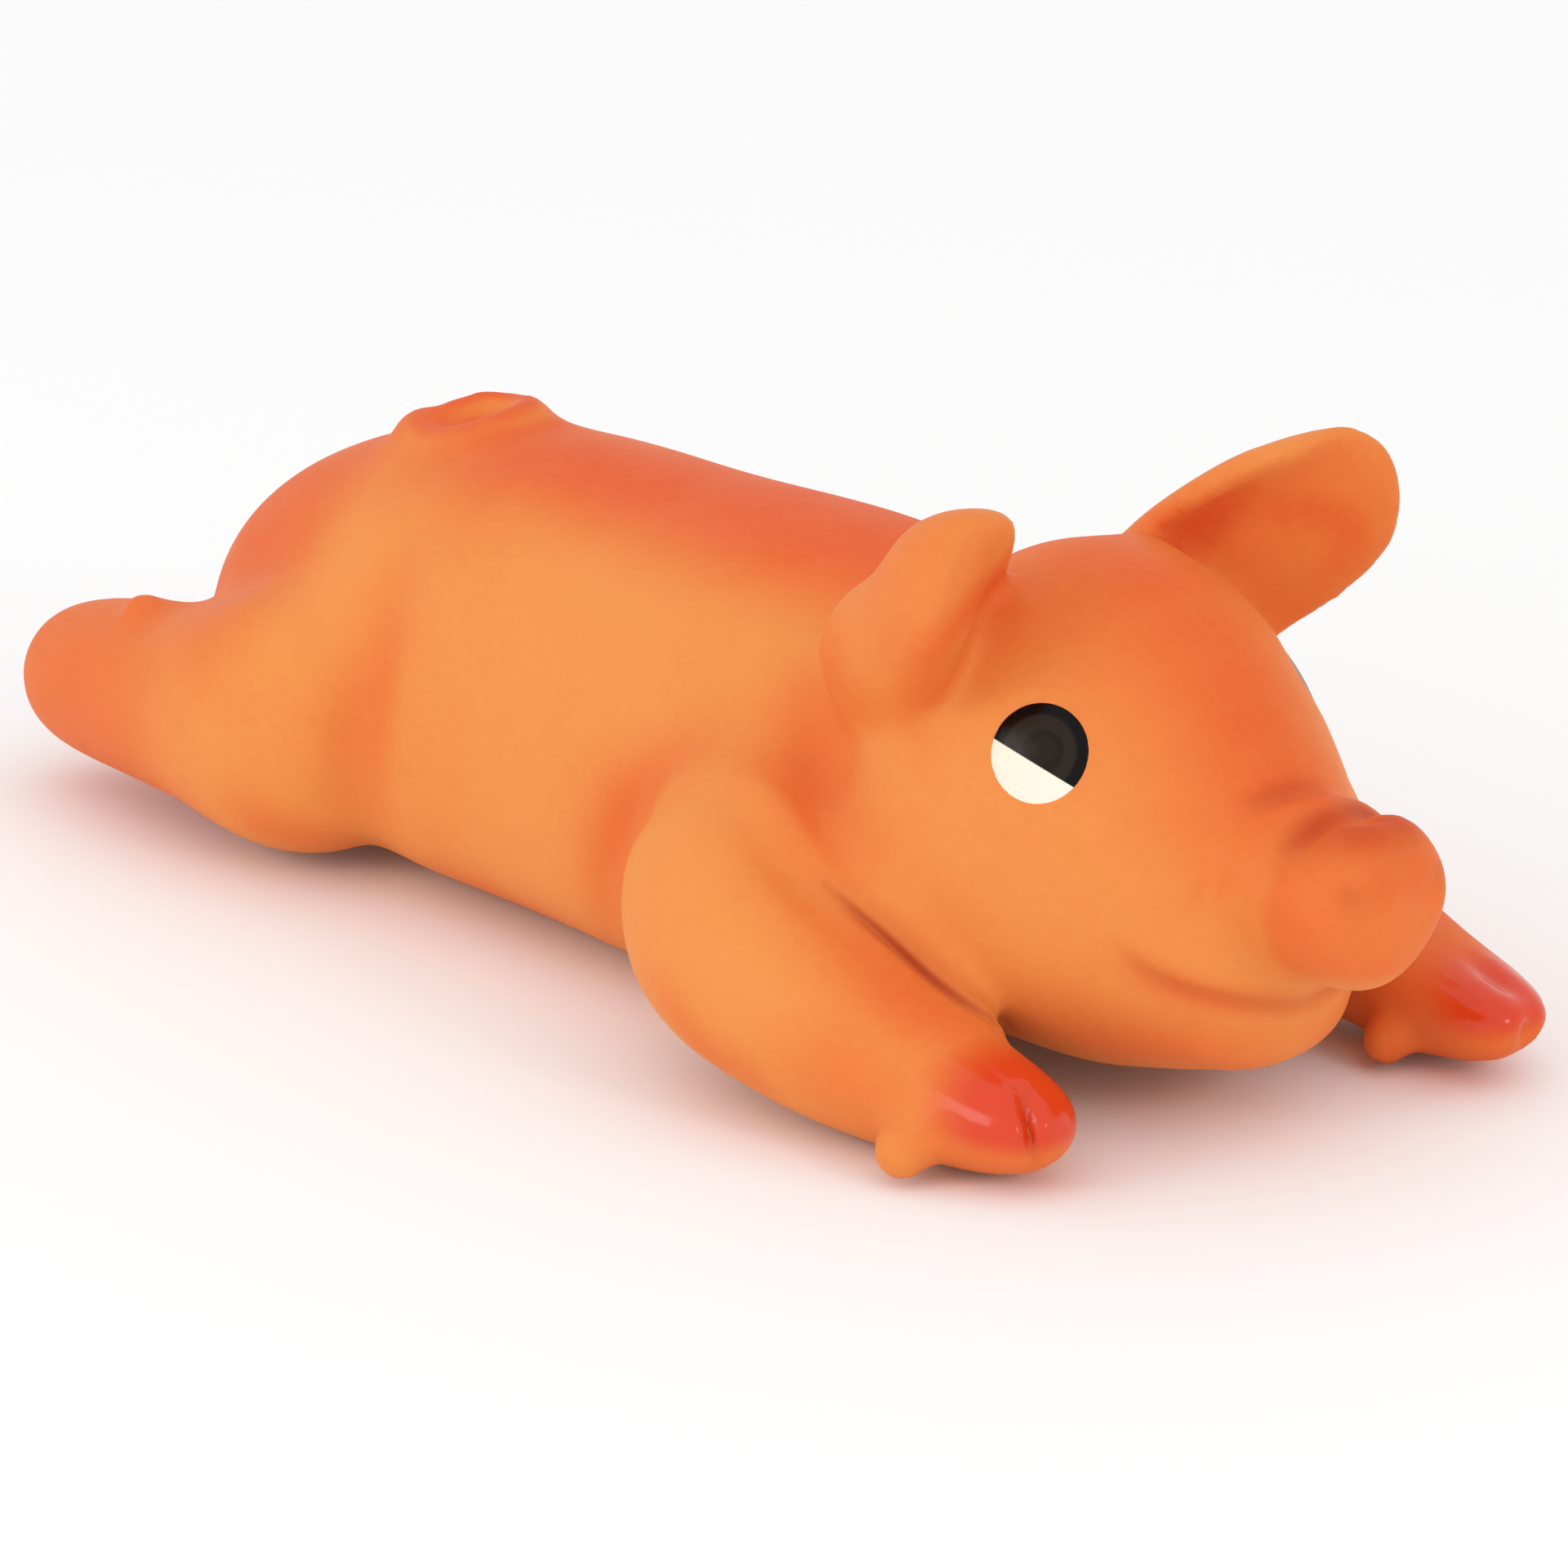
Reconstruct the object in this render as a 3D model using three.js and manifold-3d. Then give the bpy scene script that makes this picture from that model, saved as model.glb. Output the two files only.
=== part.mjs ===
import * as THREE from 'three';
import { mergeVertices } from 'three/addons/utils/BufferGeometryUtils.js';
import Module from 'manifold-3d';

// A squeezable latex pig that lies on its belly, in millimetres
// +X is the way it faces, +Y its left side, and Z = 0 the ground it lies on

const wasm = await Module();
wasm.setup();

// Skin and stuffing
const skinWall = 2.2;
const seamGap = 0.3;
const fillingGap = 0.4;
const flatDepth = 0.5;

// Overall length, from the hind feet to the snout
const halfLength = 116;

// Body
const rumpX = -103.5;
const chestX = 67;
const bodyHalfWidth = 35.5;
const backHeight = 57;
const flankHeight = 22;

// Head and snout
const napeX = 39;
const chinX = 99.5;
const snoutX = halfLength;
const headInset = 1.5;
const headHalfWidth = bodyHalfWidth - headInset;
const crownHeight = 65;
const cheekHeight = 27;
const chinClearance = 5;
const lipHeight = 15;
const lipHalfWidth = 14;
const lipReach = 7.5;
const lipRootDepth = 20;
const lipLead = 1.5;
const snoutHeight = 33.6;
const snoutHalfWidth = 12;
const snoutHalfHeight = 10.5;
const snoutRootDepth = 18;
const snoutRootRise = 3;
const snoutRootFlare = 3;
const snoutWaistIn = 0.7;
const snoutEdgeRadius = 1;
const nostrilRadius = 2;
const nostrilDepth = 1.1;
const nostrilSpacing = 10;
const nostrilRise = 1;

// Eyes
const eyeRadius = 6;
const eyeDome = 0.6;
const eyeSeatDepth = 0.9;
const eyeSunk = 0.5;
const eyeGap = 0.3;
const eyePlaceRatio = 0.55;
const eyeAngle = 49;

// Ears
const earLength = 33.5;
const earHalfWidth = 12.8;
const earThickness = 5.6;
const earCup = 2.5;
const earCurl = 8.5;
const earPlaceRatio = 0.2;
const earAngle = 44;
const earSunk = 6;
const earRise = { forward: 0.62, outward: 0.36, upward: 0.68 };
const earTilt = { forward: 0.6, outward: -0.65, upward: -0.4 };

// Front legs
const shoulderX = 22;
const shoulderHeight = 26;
const shoulderSunk = 4;
const shoulderRadius = 15.5;
const shoulderWidthRatio = 0.93;
const elbowSpread = 8.5;
const elbowHeight = 20.5;
const forearmHeight = 14;
const forearmSpread = 3;
const forearmRadius = 12.8;
const wristRadius = 9.8;
const wristSpread = 1;
const forefootX = 95.5;
const forefootSpread = 0.5;
const forefootY = bodyHalfWidth + forefootSpread;
const forefootHeight = 7.8;
const forefootRadius = 10.2;
const forefootRiseRatio = 0.78;
const leftForefootLead = 10;
const leftForefootInset = 2;
const leftForefootRiseRatio = 0.5;
const trotterLength = 17;
const cleftWidth = 1.6;
const cleftLength = 6;
const dewclawRadius = 2.9;
const foreDewclawSunk = 0.6;
const foreDewclawSetback = 16;
const foreDewclawAngle = -35;

// Hind legs
const kneeX = -41;
const kneeSunk = 13;
const kneeY = bodyHalfWidth - kneeSunk;
const thighHeight = 24;
const thighRadius = 18.5;
const thighSpread = 6.5;
const thighDrop = 3.5;
const thighWidthRatio = 0.9;
const shankHeight = 18;
const shankRadius = 13.8;
const hindfootX = -halfLength;
const hindfootInset = 6.5;
const hindfootY = bodyHalfWidth - hindfootInset;
const hindfootSpread = 2;
const hindfootHeight = 14.2;
const hindfootRadius = 11.3;
const hindDewclawSetback = 22;
const hindDewclawAngle = 76;
const hindDewclawSunk = 1.6;

// Tail
const tailPlaceRatio = 0.275;
const tailLoopRadius = 9;
const tailRadius = 3.4;
const tailTurns = 1.2;
const tailTighteningRatio = 0.45;
const tailTaperRatio = 0.4;
const tailRise = 2;
const tailSunk = 1.8;

// Voice unit, which sits over the plugged hole in the belly
const voiceX = -7;
const plugHoleRadius = 7;
const plugFlangeRadius = 10;
const plugFlangeThickness = 2;
const plugRecess = 0.4;
const plugAirBore = 1.5;
const plugGap = 0.3;
const voiceRadius = 17;
const voiceBaseThickness = 2.4;
const voiceTopThickness = 2.4;
const voiceRimHeight = 2;
const voiceRimThickness = 1.2;
const bellowsHeight = 24;
const bellowsPleats = 5;
const bellowsWall = 0.8;
const bellowsDepth = 2.6;
const voiceGap = 0.3;
const springRadius = 10.5;
const springWire = 0.6;
const springTurns = 4;
const reedBoreRadius = 4.5;
const reedBlockHeight = 8;
const reedBlockWall = 1.1;
const reedFlange = 1.4;
const reedSlotWidth = 3.2;
const reedTongueWidth = 2.6;
const reedTongueLength = 6.4;
const reedTongueThickness = 0.3;
const reedClipThickness = 1.2;
const reedClipLength = 2;
const reedClipWidth = 5.2;
const airHoleRadius = 1.2;
const airHoleCount = 6;

// Colours and finishes
function finish(color, roughness) {
  return new THREE.MeshStandardMaterial({ color, roughness, metalness: 0 });
}

function metalFinish(color) {
  return new THREE.MeshStandardMaterial({ color, roughness: 0.35, metalness: 1 });
}

// Solids and cuts
function solid(geometry) {
  const bare = geometry.clone();
  bare.deleteAttribute('normal');
  bare.deleteAttribute('uv');
  const merged = mergeVertices(bare, 1e-4);
  return new wasm.Manifold(new wasm.Mesh({
    numProp: 3,
    vertProperties: new Float32Array(merged.attributes.position.array),
    triVerts: new Uint32Array(merged.index.array),
  }));
}

function asGeometry(manifold) {
  const { vertProperties, triVerts } = manifold.getMesh();
  const geometry = new THREE.BufferGeometry();
  geometry.setAttribute('position', new THREE.BufferAttribute(vertProperties, 3));
  geometry.setIndex(new THREE.BufferAttribute(triVerts, 1));
  geometry.computeVertexNormals();
  return geometry;
}

function joined(solids) {
  return solids.reduce((sum, next) => sum.add(next));
}

function cut(block, ...tools) {
  return tools.reduce((left, tool) => left.subtract(tool), block);
}

// A ring section of the swelling forms: each half is its own part of a superellipse
function sectionPoint(angle, station, form, inset) {
  const cosine = Math.cos(angle);
  const sine = Math.sin(angle);
  const fullness = sine > 0 ? form.fullAbove : form.fullBelow;
  const reach = sine > 0 ? station.above : station.below;
  const power = 2 / fullness;
  const edgeLift = form.lift[cosine < 0 ? 0 : 1];
  return {
    across: (station.halfWidth - inset) * Math.sign(cosine) * Math.abs(cosine) ** power,
    up: (reach - inset) * Math.sign(sine) * Math.abs(sine) ** power + edgeLift * cosine ** 2,
  };
}

// A swelling form follows a smooth line through its stations, each given as
// [x, y, z, half width, reach above, reach below], and closes in rounded ends
function swellingForm(stations, options = {}) {
  const form = {
    facing: new THREE.Vector3(0, 0, 1),
    roundStart: 3,
    roundEnd: 3,
    fullAbove: 2,
    fullBelow: 2,
    lift: [0, 0],
    sides: 16,
    rings: 12,
    solidTip: 0,
    ...options,
  };
  form.line = new THREE.CatmullRomCurve3(stations.map(([x, y, z]) => new THREE.Vector3(x, y, z)));
  form.length = form.line.getLength();
  form.places = stations.map((_, index) => index / (stations.length - 1));
  form.radii = new THREE.CubicInterpolant(form.places, stations.flatMap((station) => station.slice(3)), 3);
  return form;
}

// The ring of a form at a place from 0 to 1 along it: its middle, its directions and its reaches
function stationAt(form, place) {
  const held = THREE.MathUtils.clamp(place, 0, 1);
  const tangent = form.line.getTangent(held);
  const centre = form.line.getPoint(held).addScaledVector(tangent, (place - held) * form.length);
  const across = new THREE.Vector3().crossVectors(form.facing, tangent).normalize();
  const up = new THREE.Vector3().crossVectors(tangent, across);
  const [halfWidth, above, below] = form.radii.evaluate(held);
  return { centre, across, up, tangent, halfWidth, above, below };
}

function roundness(form, share) {
  const power = share < 0 ? form.roundStart : form.roundEnd;
  return (1 - Math.abs(share) ** power) ** (1 / power);
}

// A point of a form's surface: share runs from -1 at its start to 1 at its end
function surfacePoint(form, share, angle, inset) {
  const start = inset / form.length;
  const end = 1 - (inset + (inset > 0 ? form.solidTip : 0)) / form.length;
  const station = stationAt(form, start + (end - start) * (share + 1) / 2);
  const { across, up } = sectionPoint(angle, station, form, inset);
  const swell = roundness(form, share);
  return station.centre.clone()
    .addScaledVector(station.across, across * swell)
    .addScaledVector(station.up, up * swell);
}

// The closed solid of a form, its surface drawn in by inset or let out where that is negative
function formSolid(form, inset = 0) {
  const { sides, rings } = form;
  const points = [surfacePoint(form, -1, 0, inset)];
  for (let ring = 1; ring < rings; ring += 1) {
    const share = -Math.cos(Math.PI * ring / rings);
    for (let side = 0; side < sides; side += 1) {
      points.push(surfacePoint(form, share, 2 * Math.PI * side / sides, inset));
    }
  }
  points.push(surfacePoint(form, 1, 0, inset));
  const last = points.length - 1;
  const faces = [];
  for (let side = 0; side < sides; side += 1) {
    const next = (side + 1) % sides;
    faces.push(0, 1 + next, 1 + side);
    for (let ring = 0; ring < rings - 2; ring += 1) {
      const near = 1 + ring * sides;
      const far = near + sides;
      faces.push(near + side, near + next, far + next);
      faces.push(near + side, far + next, far + side);
    }
    faces.push(last, last - sides + side, last - sides + next);
  }
  const geometry = new THREE.BufferGeometry().setFromPoints(points);
  geometry.setIndex(faces);
  return solid(geometry);
}

// The place and the outward direction of a point on a form's skin
function seatOn(form, place, degrees) {
  const share = place * 2 - 1;
  const angle = THREE.MathUtils.degToRad(degrees);
  const step = 0.01;
  const point = surfacePoint(form, share, angle, 0);
  const along = surfacePoint(form, share + step, angle, 0).sub(point);
  const round = surfacePoint(form, share, angle + step, 0).sub(point);
  const outward = new THREE.Vector3().crossVectors(round, along).normalize();
  if (outward.dot(point.clone().sub(stationAt(form, place).centre)) < 0) {
    outward.negate();
  }
  return { point, outward, along: along.normalize() };
}

// Turns a piece drawn round +Z to stand on a point along a direction
function standOn(geometry, point, direction) {
  const turn = new THREE.Quaternion().setFromUnitVectors(new THREE.Vector3(0, 0, 1), direction);
  return geometry.applyQuaternion(turn).translate(point.x, point.y, point.z);
}

function revolved(outline, segments) {
  const profile = outline.map(([radius, height]) => new THREE.Vector2(radius, height));
  return new THREE.LatheGeometry(profile, segments).rotateX(Math.PI / 2);
}

function slab(width, depth, height, x, y, z) {
  return new THREE.BoxGeometry(width, depth, height).translate(x, y, z);
}

const underground = solid(slab(4 * halfLength, 4 * halfLength, halfLength, 0, 0, -halfLength / 2));

// Body form: shares of the length, width, rise and drop along the pig
function bodyStation(along, width, rise, drop) {
  return [
    THREE.MathUtils.lerp(rumpX, chestX, along),
    0,
    flankHeight,
    bodyHalfWidth * width,
    (backHeight - flankHeight) * rise,
    (flankHeight + flatDepth) * drop,
  ];
}

const bodyForm = swellingForm([
  bodyStation(0, 0.92, 0.89, 0.9),
  bodyStation(0.25, 1, 1, 1),
  bodyStation(0.5, 0.96, 1.01, 1),
  bodyStation(0.75, 1, 1.05, 1),
  bodyStation(1, 0.87, 1.03, 0.86),
], { roundStart: 2.5, fullBelow: 2.8, sides: 22, rings: 14 });

// Head form: from the nape to the chin, with the heavy cheeks low
function headStation(along, width, level, crown, jaw) {
  return [
    THREE.MathUtils.lerp(napeX, chinX, along),
    0,
    cheekHeight * level,
    headHalfWidth * width,
    crownHeight * crown - cheekHeight * level,
    cheekHeight * level - chinClearance * jaw,
  ];
}

const skullForm = swellingForm([
  headStation(0, 0.85, 1, 0.97, 1),
  headStation(0.25, 1, 1, 1.04, 0.8),
  headStation(0.5, 0.88, 0.92, 0.98, 0.8),
  headStation(0.75, 0.72, 0.78, 0.775, 0.55),
  headStation(1, 0.52, 0.54, 0.56, 0.45),
], { sides: 18, rings: 12 });

function snoutStation(x, level, flare) {
  const reach = snoutHalfHeight + flare;
  return [x, 0, level, snoutHalfWidth + flare, reach, reach];
}

const snoutForm = swellingForm([
  snoutStation(chinX - snoutRootDepth, snoutHeight + snoutRootRise, snoutRootFlare),
  snoutStation(chinX - snoutEdgeRadius, snoutHeight, -snoutWaistIn),
  snoutStation(snoutX, snoutHeight, 0),
], { roundEnd: 7, sides: 16, rings: 10 });

// Lower lip: a rounded lobe under the snout
function lipStation(x, share) {
  return [x, 0, lipHeight, lipHalfWidth * share, lipReach * share, lipReach * share];
}

const lipForm = swellingForm([
  lipStation(chinX - lipRootDepth, 1),
  lipStation(chinX - lipRootDepth / 2, 1),
  lipStation(chinX + lipLead, 0.87),
], { fullAbove: 2.6, sides: 14, rings: 8 });

// Leg forms: side is 1 on the left of the pig and -1 on its right
function legStation(x, y, level, radius, width = 1, above = 1) {
  return [x, y, level, radius * width, radius * above, Math.min(radius, level + flatDepth)];
}

function foreleg(side) {
  const shoulderY = bodyHalfWidth - shoulderSunk;
  const tipX = forefootX + (side > 0 ? leftForefootLead : 0);
  const tipY = forefootY - (side > 0 ? leftForefootInset : 0);
  const rise = side > 0 ? leftForefootRiseRatio : forefootRiseRatio;
  const wristHeight = wristRadius - flatDepth;
  const at = (share) => THREE.MathUtils.lerp(shoulderX, tipX, share);
  return swellingForm([
    legStation(at(0), side * shoulderY, shoulderHeight, shoulderRadius, shoulderWidthRatio),
    legStation(at(0.25), side * (shoulderY + elbowSpread), elbowHeight, shoulderRadius, shoulderWidthRatio),
    legStation(at(0.5), side * (tipY + forearmSpread), forearmHeight, forearmRadius),
    legStation(at(0.75), side * (tipY + wristSpread), wristHeight, wristRadius, 1, (1 + rise) / 2),
    legStation(at(1), side * tipY, forefootHeight, forefootRadius, 1, rise),
  ], { sides: 12, rings: 10, solidTip: trotterLength });
}

function hindleg(side) {
  const at = (share) => THREE.MathUtils.lerp(kneeX, hindfootX, share);
  const midShank = (shankHeight + hindfootHeight) / 2;
  const midRadius = (shankRadius + hindfootRadius) / 2;
  return swellingForm([
    legStation(at(0), side * kneeY, thighHeight, thighRadius, thighWidthRatio),
    legStation(at(0.25), side * (kneeY + thighSpread), thighHeight - thighDrop, thighRadius, thighWidthRatio),
    legStation(at(0.5), side * (hindfootY + hindfootSpread), shankHeight, shankRadius),
    legStation(at(0.75), side * (hindfootY + hindfootSpread / 2), midShank, midRadius),
    legStation(at(1), side * hindfootY, hindfootHeight, hindfootRadius),
  ], { sides: 12, rings: 10, solidTip: trotterLength, roundEnd: 4 });
}

// A foot's end: a cleft between its two toes, and two small dewclaws behind them
function cleft(form) {
  const { centre, tangent } = stationAt(form, 1);
  return solid(standOn(slab(4 * forefootRadius, cleftWidth, 2 * cleftLength, 0, 0, 0), centre, tangent));
}

function dewclaws({ form, dewclawAngle, dewclawSetback, dewclawSunk }) {
  const place = 1 - dewclawSetback / form.length;
  return [dewclawAngle, 180 - dewclawAngle].map((angle) => {
    const { point, outward } = seatOn(form, place, angle);
    const bump = new THREE.SphereGeometry(dewclawRadius, 8, 6);
    return solid(standOn(bump, point.addScaledVector(outward, -dewclawSunk), outward));
  });
}

function headed({ forward, outward, upward }, side) {
  return new THREE.Vector3(forward, side * outward, upward).normalize();
}

// Ears: flaps on the sides of the crown that open forwards and inwards, their upper edges curled over
function ear(side) {
  const seat = seatOn(skullForm, earPlaceRatio, 90 - side * earAngle);
  const direction = headed(earRise, side);
  const root = seat.point.clone().addScaledVector(direction, -earSunk);
  const along = (share) => root.clone().addScaledVector(direction, (earLength + earSunk) * share).toArray();
  const half = earThickness / 2;
  return swellingForm([
    [...along(0), earHalfWidth * 0.9, half, half],
    [...along(0.35), earHalfWidth * 0.9, half, half],
    [...along(0.7), earHalfWidth, half, half],
    [...along(1), earHalfWidth * 0.86, half, half],
  ], {
    facing: headed(earTilt, side),
    lift: side > 0 ? [earCup, earCurl] : [earCurl, earCup],
    fullAbove: 2.6,
    fullBelow: 2.6,
    sides: 16,
    rings: 9,
    roundEnd: 2.8,
  });
}

// Tail: a tapering curl that lies on the rump
function tail() {
  const seat = seatOn(bodyForm, tailPlaceRatio, 90);
  const aside = new THREE.Vector3(0, 1, 0);
  const steps = 10;
  const stations = [];
  for (let step = 0; step <= steps; step += 1) {
    const share = step / steps;
    const angle = Math.PI * (1 + 2 * tailTurns * share);
    const radius = tailLoopRadius * (1 - tailTighteningRatio * share);
    const thickness = tailRadius * (1 - tailTaperRatio * share);
    const point = seat.point.clone()
      .addScaledVector(seat.along, radius * Math.cos(angle))
      .addScaledVector(aside, radius * Math.sin(angle))
      .addScaledVector(seat.outward, tailRise * share - tailSunk);
    stations.push([...point.toArray(), thickness, thickness, thickness]);
  }
  return swellingForm(stations, { facing: seat.outward, sides: 7, rings: 22, roundStart: 6, roundEnd: 4 });
}

// Outer and hollow shapes of the two big forms, and the same let out by the seam for what meets them
const headForms = [skullForm, snoutForm, lipForm];
const headShape = (inset) => joined(headForms.map((form) => formSolid(form, inset)));
const bodySeam = formSolid(bodyForm, -seamGap);
const bodyHollow = formSolid(bodyForm, skinWall);
const headSeam = headShape(-seamGap);
const headHollow = headShape(skinWall);
const stuffed = skinWall + fillingGap;
const headWall = headShape(-seamGap - skinWall);
const headFillingRoom = headShape(-seamGap - stuffed);

const group = new THREE.Group();

function place(name, geometry, material) {
  const mesh = new THREE.Mesh(geometry, material);
  mesh.name = name;
  group.add(mesh);
}

const latex = () => finish(0xf08a48, 0.55);
const wadding = () => finish(0xf2efe6, 0.95);
const whitePlastic = () => finish(0xe9e7df, 0.45);

// Legs, with their stuffing
const foreDewclaws = {
  dewclawAngle: foreDewclawAngle,
  dewclawSetback: foreDewclawSetback,
  dewclawSunk: foreDewclawSunk,
};
const hindDewclaws = {
  dewclawAngle: hindDewclawAngle,
  dewclawSetback: hindDewclawSetback,
  dewclawSunk: hindDewclawSunk,
};
const legs = [
  { name: 'left_foreleg', form: foreleg(1), ...foreDewclaws },
  { name: 'right_foreleg', form: foreleg(-1), ...foreDewclaws },
  { name: 'left_hind_leg', form: hindleg(1), ...hindDewclaws },
  { name: 'right_hind_leg', form: hindleg(-1), ...hindDewclaws },
];

for (const leg of legs) {
  const { name, form } = leg;
  const outer = joined([formSolid(form), ...dewclaws(leg)]);
  const hollow = cut(formSolid(form, skinWall), headWall);
  const skin = cut(outer, underground, bodySeam, headSeam, hollow, cleft(form));
  place(name, asGeometry(skin), latex());
  const stuffing = cut(formSolid(form, stuffed), bodyHollow, headFillingRoom);
  place(`${name}_filling`, asGeometry(stuffing), wadding());
}

// Eyes: low domes, each seated in a socket of the head
function eyeOutline(gap) {
  const radius = eyeRadius + gap;
  const outline = [[0, -eyeSeatDepth - gap], [radius, -eyeSeatDepth - gap], [radius, gap * 2]];
  const steps = 3;
  for (let step = 1; step < steps; step += 1) {
    const angle = Math.PI / 2 * step / steps;
    outline.push([radius * Math.cos(angle), (eyeDome + gap) * Math.sin(angle) + gap]);
  }
  outline.push([0, eyeDome + gap * 2]);
  return outline;
}

function eyeAt(side, gap) {
  const seat = seatOn(skullForm, eyePlaceRatio, 90 - side * eyeAngle);
  const middle = seat.point.addScaledVector(seat.outward, -eyeSunk);
  return standOn(revolved(eyeOutline(gap), 20), middle, seat.outward);
}

// Head, with its ears and stuffing
const nostrils = [1, -1].map((side) => solid(new THREE.SphereGeometry(nostrilRadius, 10, 8)
  .translate(snoutX + nostrilRadius - nostrilDepth, side * nostrilSpacing / 2, snoutHeight + nostrilRise)));
const eyeSockets = [1, -1].map((side) => solid(eyeAt(side, eyeGap)));
const headSkin = cut(headShape(0), bodySeam, headHollow, ...eyeSockets, ...nostrils);
place('head_skin', asGeometry(headSkin), latex());
place('head_filling', asGeometry(cut(headShape(stuffed), bodyHollow)), wadding());
for (const [name, side] of [['left', 1], ['right', -1]]) {
  place(`${name}_eye`, eyeAt(side, 0), finish(0x15110e, 0.12));
  place(`${name}_ear`, asGeometry(cut(formSolid(ear(side)), headSeam, bodySeam)), latex());
}

// Heights of the parts stacked over the belly
const bellyFloor = skinWall - flatDepth;
const flangeTop = bellyFloor + plugGap + plugFlangeThickness;
const baseBottom = flangeTop + voiceGap;
const baseTop = baseBottom + voiceBaseThickness;
const bellowsBottom = baseTop + voiceGap;
const bellowsTop = bellowsBottom + bellowsHeight;
const topBottom = bellowsTop + voiceGap;
const topTop = topBottom + voiceTopThickness;

function pillar(radius, bottom, top, segments = 24) {
  return new THREE.CylinderGeometry(radius, radius, top - bottom, segments)
    .rotateX(Math.PI / 2).translate(voiceX, 0, (bottom + top) / 2);
}

// Body, with its stuffing round the voice unit, and the tail
const legHollows = legs.map(({ form }) => formSolid(form, skinWall));
const plugHole = solid(pillar(plugHoleRadius, -1, bellyFloor + skinWall));
const bodySkin = cut(formSolid(bodyForm), underground, bodyHollow, headHollow, ...legHollows, plugHole);
place('body_skin', asGeometry(bodySkin), latex());
const pocket = joined([
  solid(pillar(plugFlangeRadius + fillingGap, -1, baseBottom, 20)),
  solid(pillar(voiceRadius + fillingGap, baseBottom - fillingGap, topTop + fillingGap, 20)),
]);
place('body_filling', asGeometry(cut(formSolid(bodyForm, stuffed), pocket)), wadding());
place('tail', asGeometry(cut(formSolid(tail()), bodySeam)), latex());

// Plug: its shank fills the hole in the belly, its flange lies on the skin inside, and air passes its bore
const plugShank = solid(pillar(plugHoleRadius - plugGap, plugRecess, flangeTop));
const plugRoom = formSolid(bodyForm, skinWall + plugGap);
const plugFlange = solid(pillar(plugFlangeRadius, 0, flangeTop)).intersect(plugRoom);
const plug = cut(joined([plugShank, plugFlange]), solid(pillar(plugAirBore, -1, flangeTop + 1, 12)));
place('belly_plug', asGeometry(plug), latex());

// Voice unit: two plates with rims that locate the bellows, and the reed seated in the lower one
function plate(bottom, top, rimEnd, bore) {
  const rim = voiceRadius - voiceRimThickness;
  const outline = [
    [bore, bottom],
    [voiceRadius, bottom],
    [voiceRadius, rimEnd],
    [rim, rimEnd],
    [rim, top],
    [bore, top],
    [bore, bottom],
  ];
  return solid(revolved(outline, 24)).translate([voiceX, 0, 0]);
}

const airHoles = [];
for (let hole = 0; hole < airHoleCount; hole += 1) {
  const angle = 2 * Math.PI * hole / airHoleCount;
  const ring = (reedBoreRadius + reedFlange + voiceRadius) / 2;
  airHoles.push(solid(pillar(airHoleRadius, baseBottom - 1, baseTop + 1, 10)
    .translate(ring * Math.cos(angle), ring * Math.sin(angle), 0)));
}
const basePlate = plate(baseBottom, baseTop, baseTop + voiceRimHeight, reedBoreRadius + voiceGap);
const base = cut(basePlate, ...airHoles);
place('voice_base', asGeometry(base), whitePlastic());

function topOutline() {
  const rim = voiceRadius - voiceRimThickness;
  return [
    [0, topBottom],
    [rim, topBottom],
    [rim, topBottom - voiceRimHeight],
    [voiceRadius, topBottom - voiceRimHeight],
    [voiceRadius, topTop],
    [0, topTop],
  ];
}
place('voice_top', revolved(topOutline(), 24).translate(voiceX, 0, 0), whitePlastic());

// Bellows: a pleated tube between the plates
function pleats(offset) {
  const outer = voiceRadius - voiceRimThickness - voiceGap - (offset ? bellowsWall : 0);
  const points = [];
  const folds = 2 * bellowsPleats;
  for (let fold = 0; fold <= folds; fold += 1) {
    const inward = fold % 2 === 1 ? bellowsDepth : 0;
    points.push([outer - inward, THREE.MathUtils.lerp(bellowsBottom, bellowsTop, fold / folds)]);
  }
  return points;
}

const bellowsWallOutline = [...pleats(false), ...pleats(true).reverse()];
bellowsWallOutline.push(bellowsWallOutline[0]);
place('voice_bellows', revolved(bellowsWallOutline, 20).translate(voiceX, 0, 0), finish(0xd8d4c8, 0.5));

// Spring: an open coil inside the bellows, its wire ends resting on the two plates
function coil() {
  const rise = bellowsHeight - 2 * springWire;
  const points = [];
  const steps = springTurns * 8;
  for (let step = 0; step <= steps; step += 1) {
    const angle = 2 * Math.PI * springTurns * step / steps;
    const height = bellowsBottom + springWire + rise * step / steps;
    points.push([voiceX + springRadius * Math.cos(angle), springRadius * Math.sin(angle), height]);
  }
  const stations = points.map((point) => [...point, springWire, springWire, springWire]);
  return swellingForm(stations, { sides: 5, rings: steps + 2, roundStart: 12, roundEnd: 12 });
}
place('voice_spring', asGeometry(formSolid(coil())), metalFinish(0xb9bcc0));

// Reed: a hollow block in the plate, with a slot in its roof, a brass tongue over the slot, and a clip
const reedTop = baseTop + voiceGap + reedBlockHeight;
const slotLength = reedTongueLength - reedClipLength + voiceGap * 2;
const slotX = voiceX - reedTongueLength / 2 + reedClipLength;
const reedBlock = cut(
  joined([
    solid(pillar(reedBoreRadius, baseBottom, reedTop, 24)),
    solid(pillar(reedBoreRadius + reedFlange, baseTop + voiceGap, baseTop + voiceGap + reedBlockWall, 24)),
  ]),
  solid(pillar(reedBoreRadius - reedBlockWall, baseBottom - 1, reedTop - reedBlockWall, 16)),
  solid(slab(slotLength, reedSlotWidth, 2 * reedBlockHeight, slotX + slotLength / 2, 0, reedTop)),
);
place('reed_block', asGeometry(reedBlock), whitePlastic());
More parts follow.
